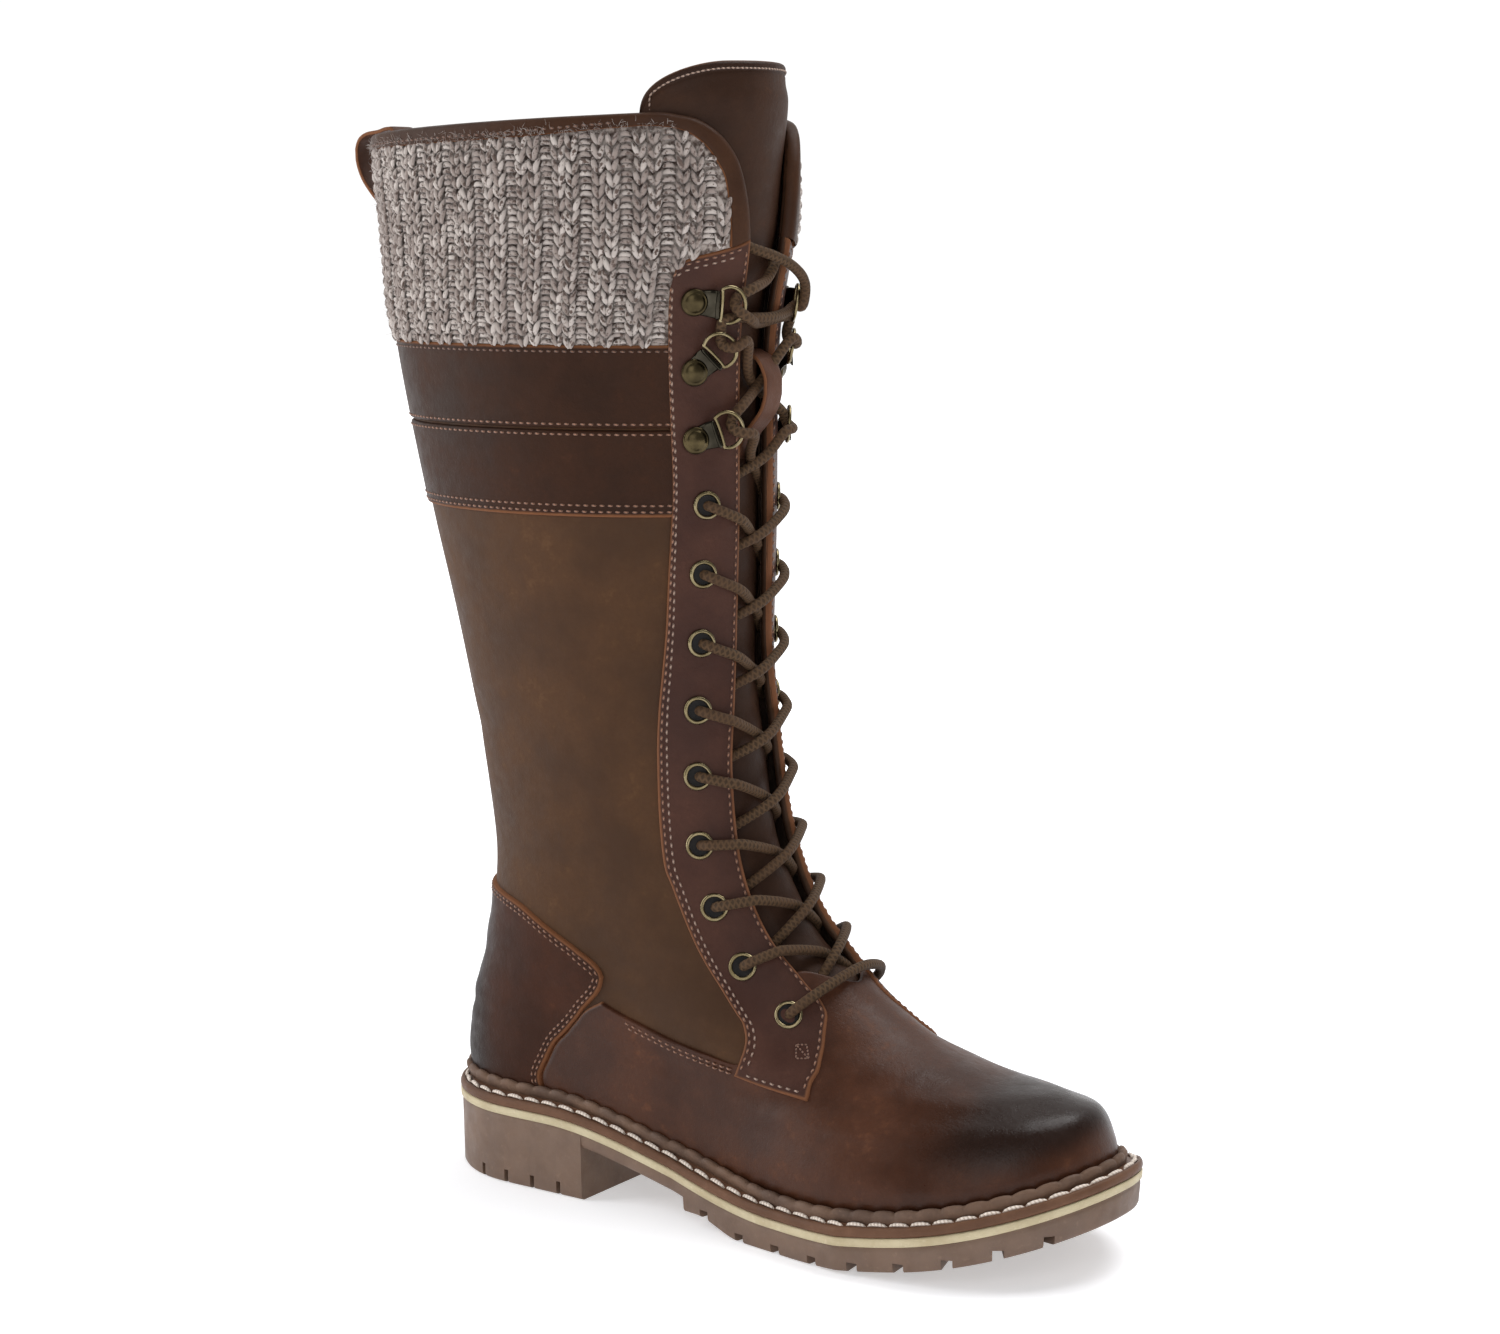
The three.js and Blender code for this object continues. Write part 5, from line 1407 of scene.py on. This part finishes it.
def tongueStitches():
    # A row along the tongue's top and upper sides, in its groove.
    a = np.concatenate([np.full(60, -1.0), np.linspace(-1, 1, 120), np.full(60, 1.0)])
    u = np.concatenate([np.linspace(0.88, 0.995, 60), np.full(120, 0.995), np.linspace(0.995, 0.88, 60)])
    turn, row = tonguePlace(a * 0.94, u - 0.012)
    centres = formPoint(turn, row) + formNormal(turn, np.minimum(row, 13.9)) * (0.05 - tongueDepth(row))[:, None]
    line = resample(centres, np.linspace(0, 1, 90))
    stitchMesh("tongue_stitches", line, np.gradient(line, axis=0),
               formNormal(np.interp(np.arange(90) / 89, np.linspace(0, 1, 240), turn), np.full(90, 13.0)),
               1.8, 0.3, materials["dotThread"], "facing_leather")


tongueStitches()
print("seams made")

# Hardware
eyeletPlaces = [(.855, 10.02), (.843, 9.62), (.832, 9.22), (.808, 8.81), (.783, 8.39), (.753, 7.86), (.74, 7.18),
                (.734, 6.37), (.753, 5.54)]
clipPlaces = [{"at": (.829, 11.33), "turned": 0, "ring": (.888, 11.32)},
              {"at": (.836, 10.81), "turned": 46, "ring": (.877, 10.96)},
              {"at": (.836, 10.4), "turned": 20, "ring": (.892, 10.46)}]


def seat(side, place, turned=0.0):
    # A frame on the form: origin, forward to the throat, across, and out of the leather. Side is 1 outer, -1 inner.
    turn, row = np.array(float(side * place[0])), np.array(float(place[1]))
    normal = formNormal(turn, row)
    ahead = formPoint(turn + side * 0.01, row) - formPoint(turn, row)
    ahead = unit(ahead - normal * np.dot(ahead, normal))
    rise = np.cross(normal, ahead) * side
    angle = math.radians(turned)
    forward = ahead * math.cos(angle) + rise * math.sin(angle)
    return formPoint(turn, row), forward, np.cross(normal, forward), normal


def lathe(profile, sides, place):
    # A turned shape on a seat: the profile gives radius and height from the outer foot to the middle.
    origin, forward, across, normal = place
    r, h = np.array(profile, float).T
    angle = circle(sides)
    grid = origin + r[:, None, None] * around(forward, across, angle) + h[:, None, None] * normal
    return grid.reshape(-1, 3), quads(len(r), sides, closed=True)


eyeletProfile = [(4.6, 1.2), (5.0, 1.45), (5.08, 1.75), (4.95, 2.1), (4.65, 2.4), (4.25, 2.52), (3.9, 2.42),
                 (3.65, 2.1), (3.5, 1.6), (3.45, 0.6)]
domeProfile = [(4.3, 1.9), (4.75, 2.2), (4.8, 2.55), (4.6, 2.9), (4.0, 3.35), (3.85, 3.3), (3.4, 3.75), (2.6, 4.25),
               (1.5, 4.6), (0.6, 4.72), (0.02, 4.74)]
for side, name in ((1, "lateral"), (-1, "medial")):
    for i, at in enumerate(eyeletPlaces):
        place = seat(side, at)
        piece(f"eyelet_ring_{name}_{i + 1}", *lathe(eyeletProfile, 28, place), materials["brass"], "hardware",
              (f"eyelet_{name}_{i + 1}",))
    # A near-black disc closing each eyelet's hole: painted shade inside the hole.
    holeShades = joined([lathe([(3.6, 1.95), (3.1, 1.75), (1.5, 1.68), (0.02, 1.66)], 16, seat(side, at))
                    for at in eyeletPlaces])
    piece(f"eyelet_hole_shade_{name}", *holeShades, materials["hole"], "hardware")


hoopForm = {"radius": 5.6, "flat": 2.8, "height": 5.0, "wide": 1.12}


def wireOutline(place, tilt):
    # The D of a wire ring: a circle cut straight on the clip's side, its bow lifted by the lace.
    origin, forward, across, normal = place
    radius, flat = hoopForm["radius"], hoopForm["flat"]
    a = np.linspace(-np.pi, np.pi, 97)[:-1]
    x, y = radius * np.cos(a), radius * np.sin(a)
    soft = np.where(x < -flat, -flat - 0.12 * (x + flat), x)
    height = hoopForm["height"] + tilt * (x.clip(-flat) + flat) / (radius + flat)
    return origin + soft[:, None] * forward + y[:, None] * across * hoopForm["wide"] + height[:, None] * normal


def closedTube(points, radius, sides):
    # A circle carried round a flat closed line.
    along = unit(np.roll(points, -1, 0) - np.roll(points, 1, 0))
    middle = points.mean(0)
    plane = unit(np.cross(points[0] - middle, points[len(points) // 4] - middle))
    aside = unit(np.cross(along, plane))
    up = np.cross(aside, along)
    angle = circle(sides)
    grid = points[:, None] + radius * around(aside, up, angle)
    n = len(points)
    i, j = np.arange(n)[:, None], np.arange(sides)[None, :]
    k, l = (i + 1) % n, (j + 1) % sides
    faces = np.stack([i * sides + j, i * sides + l, k * sides + l, k * sides + j], -1).reshape(-1, 4)
    return grid.reshape(-1, 3), faces


wireRing = {"wire": 0.68, "sides": 10, "tilt": 1.6, "bar": 2.9}
rings = {}
for side, name in ((1, "lateral"), (-1, "medial")):
    for i, spec in enumerate(clipPlaces):
        base = seat(side, spec["at"], spec["turned"])
        hoop = seat(side, spec["ring"], spec["turned"])
        rings[(side, i)] = hoop
        bow = closedTube(wireOutline(hoop, wireRing["tilt"]), wireRing["wire"], wireRing["sides"])
        piece(f"lace_ring_wire_{name}_{i + 1}", *bow, materials["brass"], "hardware", (f"lace_ring_{name}_{i + 1}",))
        dome = lathe(domeProfile, 28, base)
        piece(f"rivet_dome_{name}_{i + 1}", *dome, materials["dome"], "hardware", (f"lace_clip_{name}_{i + 1}",))
        origin, forward, across, normal = base
        wire = hoop[0] - hoop[1] * wireRing["bar"] + hoop[3] * hoopForm["height"]
        reach = wire - origin - normal * np.dot(wire - origin, normal)
        away = unit(reach)
        path = [origin + reach * s + normal * h for s, h in ((0, 2.0), (0.4, 2.1), (0.62, 2.5), (0.8, 3.5))]
        path += [wire - away * a + normal * h for a, h in ((1.15, -0.6), (0.95, 0.1), (1.15, 0.75), (1.7, 0.95))]
        line = curve(path, 44)
        span = np.interp(np.linspace(0, 1, 44), [0, 0.3, 0.6, 1], [4.2, 4.4, 4.8, 5.0])
        p, f, _ = tube(line, span, 16, 0.1, np.cross(across, unit(np.gradient(line, axis=0))), boxy=0.5, tip=0.08)
        piece(f"clip_plate_{name}_{i + 1}", p, f, materials["steel"], "hardware")
print("hardware made")


# Lace
def station(turn, row, height):
    # A point of the lace over the form.
    return raised(np.array(float(turn)), np.array(float(row)), float(height))


def eyeletTurn(side, i):
    # An eyelet's turn and row, inner ones counted past the front.
    turn, row = eyeletPlaces[i]
    return (turn if side > 0 else 2 - turn), row


def strandRow(start, end):
    # How far a taut strand climbs off the straight way between its ends, in rows at its middle: the
    # climb that makes it shortest on the form.
    share = np.linspace(0, 1, 60)
    climbs = np.linspace(-0.3, 2.0, 47)
    turn = mix(start[0], end[0], share)
    runs = [length(np.column_stack([turn, mix(start[1], end[1], share) + 4 * c * share * (1 - share)]))[-1]
            for c in climbs]
    return climbs[int(np.argmin(runs))]


def strandAt(start, end, share):
    # The straight blend of both ends, plus the climb times four times share times its remainder.
    climb = strandRow(start, end)
    return mix(start[0], end[0], share), mix(start[1], end[1], share) + 4 * climb * share * (1 - share)


def edgeShare(start, end):
    # Shares of a strand's way at which it meets the front edges of the two facings.
    share = np.linspace(0, 1, 200)
    turn, row = strandAt(start, end, share)
    near = edgeTurn(stayFront, row)
    far = 2 - edgeTurn(np.abs(stayFrontIn), row)
    inside = share[(turn > near) & (turn < far)]
    return inside[0], inside[-1]


stayFrontIn = inner(stayFront)


def crossing(start, end, over, lift=0.0):
    # A strand from the front of one eyelet over its facing's edge, across the tongue and under the
    # opposite facing to the back of the next: shares of the way with heights over the form.
    first, last = edgeShare(start, end)
    middle = 2.0 if over else -2.3
    table = [(0.0, 0.6), (0.035, 3.2), (0.13, 4.75 + lift), (max(first - 0.02, 0.2), 4.1 + lift),
             (mix(first, last, 0.5), middle + lift), (last - 0.01, -3.6), (last + 0.05, -5.0), (0.94, -5.0),
             (1.0, -3.0)]
    return [station(*strandAt(start, end, s), h) for s, h in table]


def throughRing(side, i):
    # Up through a wire ring: over its bow from below, down inside it and out under the bow above.
    origin, forward, across, normal = rings[(side, i)]
    up = across * side
    table = [(9.5, -5.6, 5.6), (5.6, -3.4, 8.0), (2.8, -1.6, 6.6), (2.2, 0.8, 4.4), (5.0, 3.2, 3.7), (9.5, 5.6, 4.4)]
    return [origin + forward * a + up * b + normal * c for a, b, c in table]


def lacePath():
    # The whole lace, from its end tucked behind the outer facing's top, down to the last eyelets and up again.
    line = []
    tuck = [station(.86, 12.0, -4.8), station(.91, 11.86, -4.2), station(.955, 11.79, -1.4), station(1.0, 11.74, 1.6),
            station(1.05, 11.66, 5.0), station(1.088, 11.52, 8.4)]
    origin, forward, across, normal = rings[(-1, 0)]
    line += tuck + [origin + forward * 4.4 + across * 1.0 + normal * 8.6,
                    origin + forward * 2.0 + across * 0.4 + normal * 5.6,
                    origin + forward * 4.6 + across * 3.4 + normal * 3.6]
    line += [station(1.0, 11.2, 3.6)] + throughRing(1, 1)[::-1]
    line += [station(.985, 10.75, -1.2)] + throughRing(-1, 2)[::-1][1:]
    line += [station(1.02, 10.28, 1.6), station(.95, 10.17, -4.6), station(.89, 10.08, -5.0)]
    for i in range(9):
        side = 1 if i % 2 == 0 else -1
        turn, row = eyeletTurn(side, i)
        line.append(station(turn, row, -3.0))
        if i < 8:
            line += crossing((turn, row), eyeletTurn(-side, i + 1), over=side < 0)[:-1]
    last, other = eyeletTurn(1, 8), eyeletTurn(-1, 8)
    bar = [(0.0, 0.6), (0.035, 3.2), (0.1, 4.8), (0.25, 4.9), (0.5, 4.6), (0.75, 4.9), (0.9, 4.8), (0.965, 3.2),
           (1.0, 0.6)]
    line += [station(*strandAt(last, other, s), h) for s, h in bar]
    for i in range(7, -1, -1):
        side = 1 if i % 2 == 1 else -1
        start, end = eyeletTurn(side, i), eyeletTurn(-side, i + 1)
        line += crossing(start, end, over=side < 0)[::-1]
    line += [station(*eyeletTurn(-1, 0), -3.0), station(1.11, 10.1, -5.0), station(1.06, 10.18, -4.6),
             station(.985, 10.3, -1.0)]
    line += throughRing(1, 2)
    line += [station(1.0, 10.72, 1.0)] + throughRing(-1, 1)
    line += [station(1.0, 11.14, -0.6)] + throughRing(1, 0)
    line += [station(.99, 11.52, 1.2), station(1.035, 11.66, -0.8), station(1.062, 11.72, -3.4),
             station(1.085, 11.66, -4.8), station(1.10, 11.5, -5.0)]
    return arr(line)


lace = {"radius": 1.85, "sides": 12, "points": 1500}
laceLine = curve(lacePath(), lace["points"])
laceLine = np.array([np.convolve(np.pad(c, 2, "edge"), [0.1, 0.2, 0.4, 0.2, 0.1], "valid") for c in laceLine.T]).T
print("lace length, mm:", round(float(length(laceLine)[-1])))
laceTube = tube(laceLine, lace["radius"], lace["sides"])
piece("lace_cord", *laceTube[:2], materials["lace"], "lace", ("lace_crossings",), laceTube[2])
print("lace made")


# Floor and light
def area(name, place, aim, size, power):
    # A rectangular lamp that looks from its place to its aim.
    data = bpy.data.lights.new(name, "AREA")
    data.shape, data.size, data.size_y = "RECTANGLE", size[0], size[1]
    data.energy = power
    light = bpy.data.objects.new(name, data)
    bpy.context.scene.collection.objects.link(light)
    back = unit(np.array(place, float) - np.array(aim, float))
    side = unit(np.cross([0, 0, 1], back) if abs(back[2]) < 0.99 else np.array([1.0, 0, 0]))
    up = np.cross(back, side)
    light.matrix_world = Matrix([[side[i], up[i], back[i], place[i]] for i in range(3)] + [[0, 0, 0, 1]])


def stageFloor():
    # A white ground that glows more with distance, so that only the shadow by the boot shows.
    mesh = bpy.data.meshes.new("floor")
    mesh.from_pydata([(-6, -6, 0), (6, -6, 0), (6, 6, 0), (-6, 6, 0)], [], [(0, 1, 2, 3)])
    m = Nodes("floor")
    away = m.add("VectorMath", {0: m.place}, operation="LENGTH").outputs["Value"]
    glow = m.remap(away, 0.3, 1.1, 0.42, 1.0)
    mesh.materials.append(m.finish(linear(235, 236, 240), 0.9, Emission_Color=(1, 1, 1, 1), Emission_Strength=glow,
                                   Specular_IOR_Level=0.1))
    floor = bpy.data.objects.new("floor", mesh)
    bpy.context.scene.collection.objects.link(floor)


stageFloor()


def studio():
    # A white backdrop behind the boot and a dimmer room on the camera's side, blended by direction.
    world = bpy.data.worlds.new("studio")
    world.use_nodes = True
    tree = world.node_tree
    look = tree.nodes.new("ShaderNodeTexCoord")
    facing = tree.nodes.new("ShaderNodeVectorMath")
    facing.operation = "DOT_PRODUCT"
    facing.inputs[1].default_value = (-0.554, 0.820, -0.145)
    amount = tree.nodes.new("ShaderNodeMapRange")
    amount.interpolation_type = "SMOOTHSTEP"
    for key, value in {"From Min": -0.25, "From Max": 0.6, "To Min": 0.3, "To Max": 1.04}.items():
        amount.inputs[key].default_value = value
    tree.links.new(look.outputs["Generated"], facing.inputs[0])
    tree.links.new(facing.outputs["Value"], amount.inputs["Value"])
    background = tree.nodes["Background"]
    background.inputs[0].default_value = (1, 1, 1, 1)
    tree.links.new(amount.outputs[0], background.inputs[1])
    bpy.context.scene.world = world


studio()
bpy.context.scene.view_settings.view_transform = "Standard"
lamps = [  # in metres and watts
    {"name": "left", "place": (-1.1, -0.75, 0.75), "aim": (0, 0, 0.2), "size": (0.7, 1.5), "power": 12},
    {"name": "top", "place": (0.5, 0.5, 1.6), "aim": (0.12, 0, 0.1), "size": (0.9, 0.9), "power": 16},
    {"name": "front", "place": (0.9, -1.5, 0.9), "aim": (0.06, 0, 0.2), "size": (1.2, 1.2), "power": 8},
]
for lamp in lamps:
    area(**lamp)
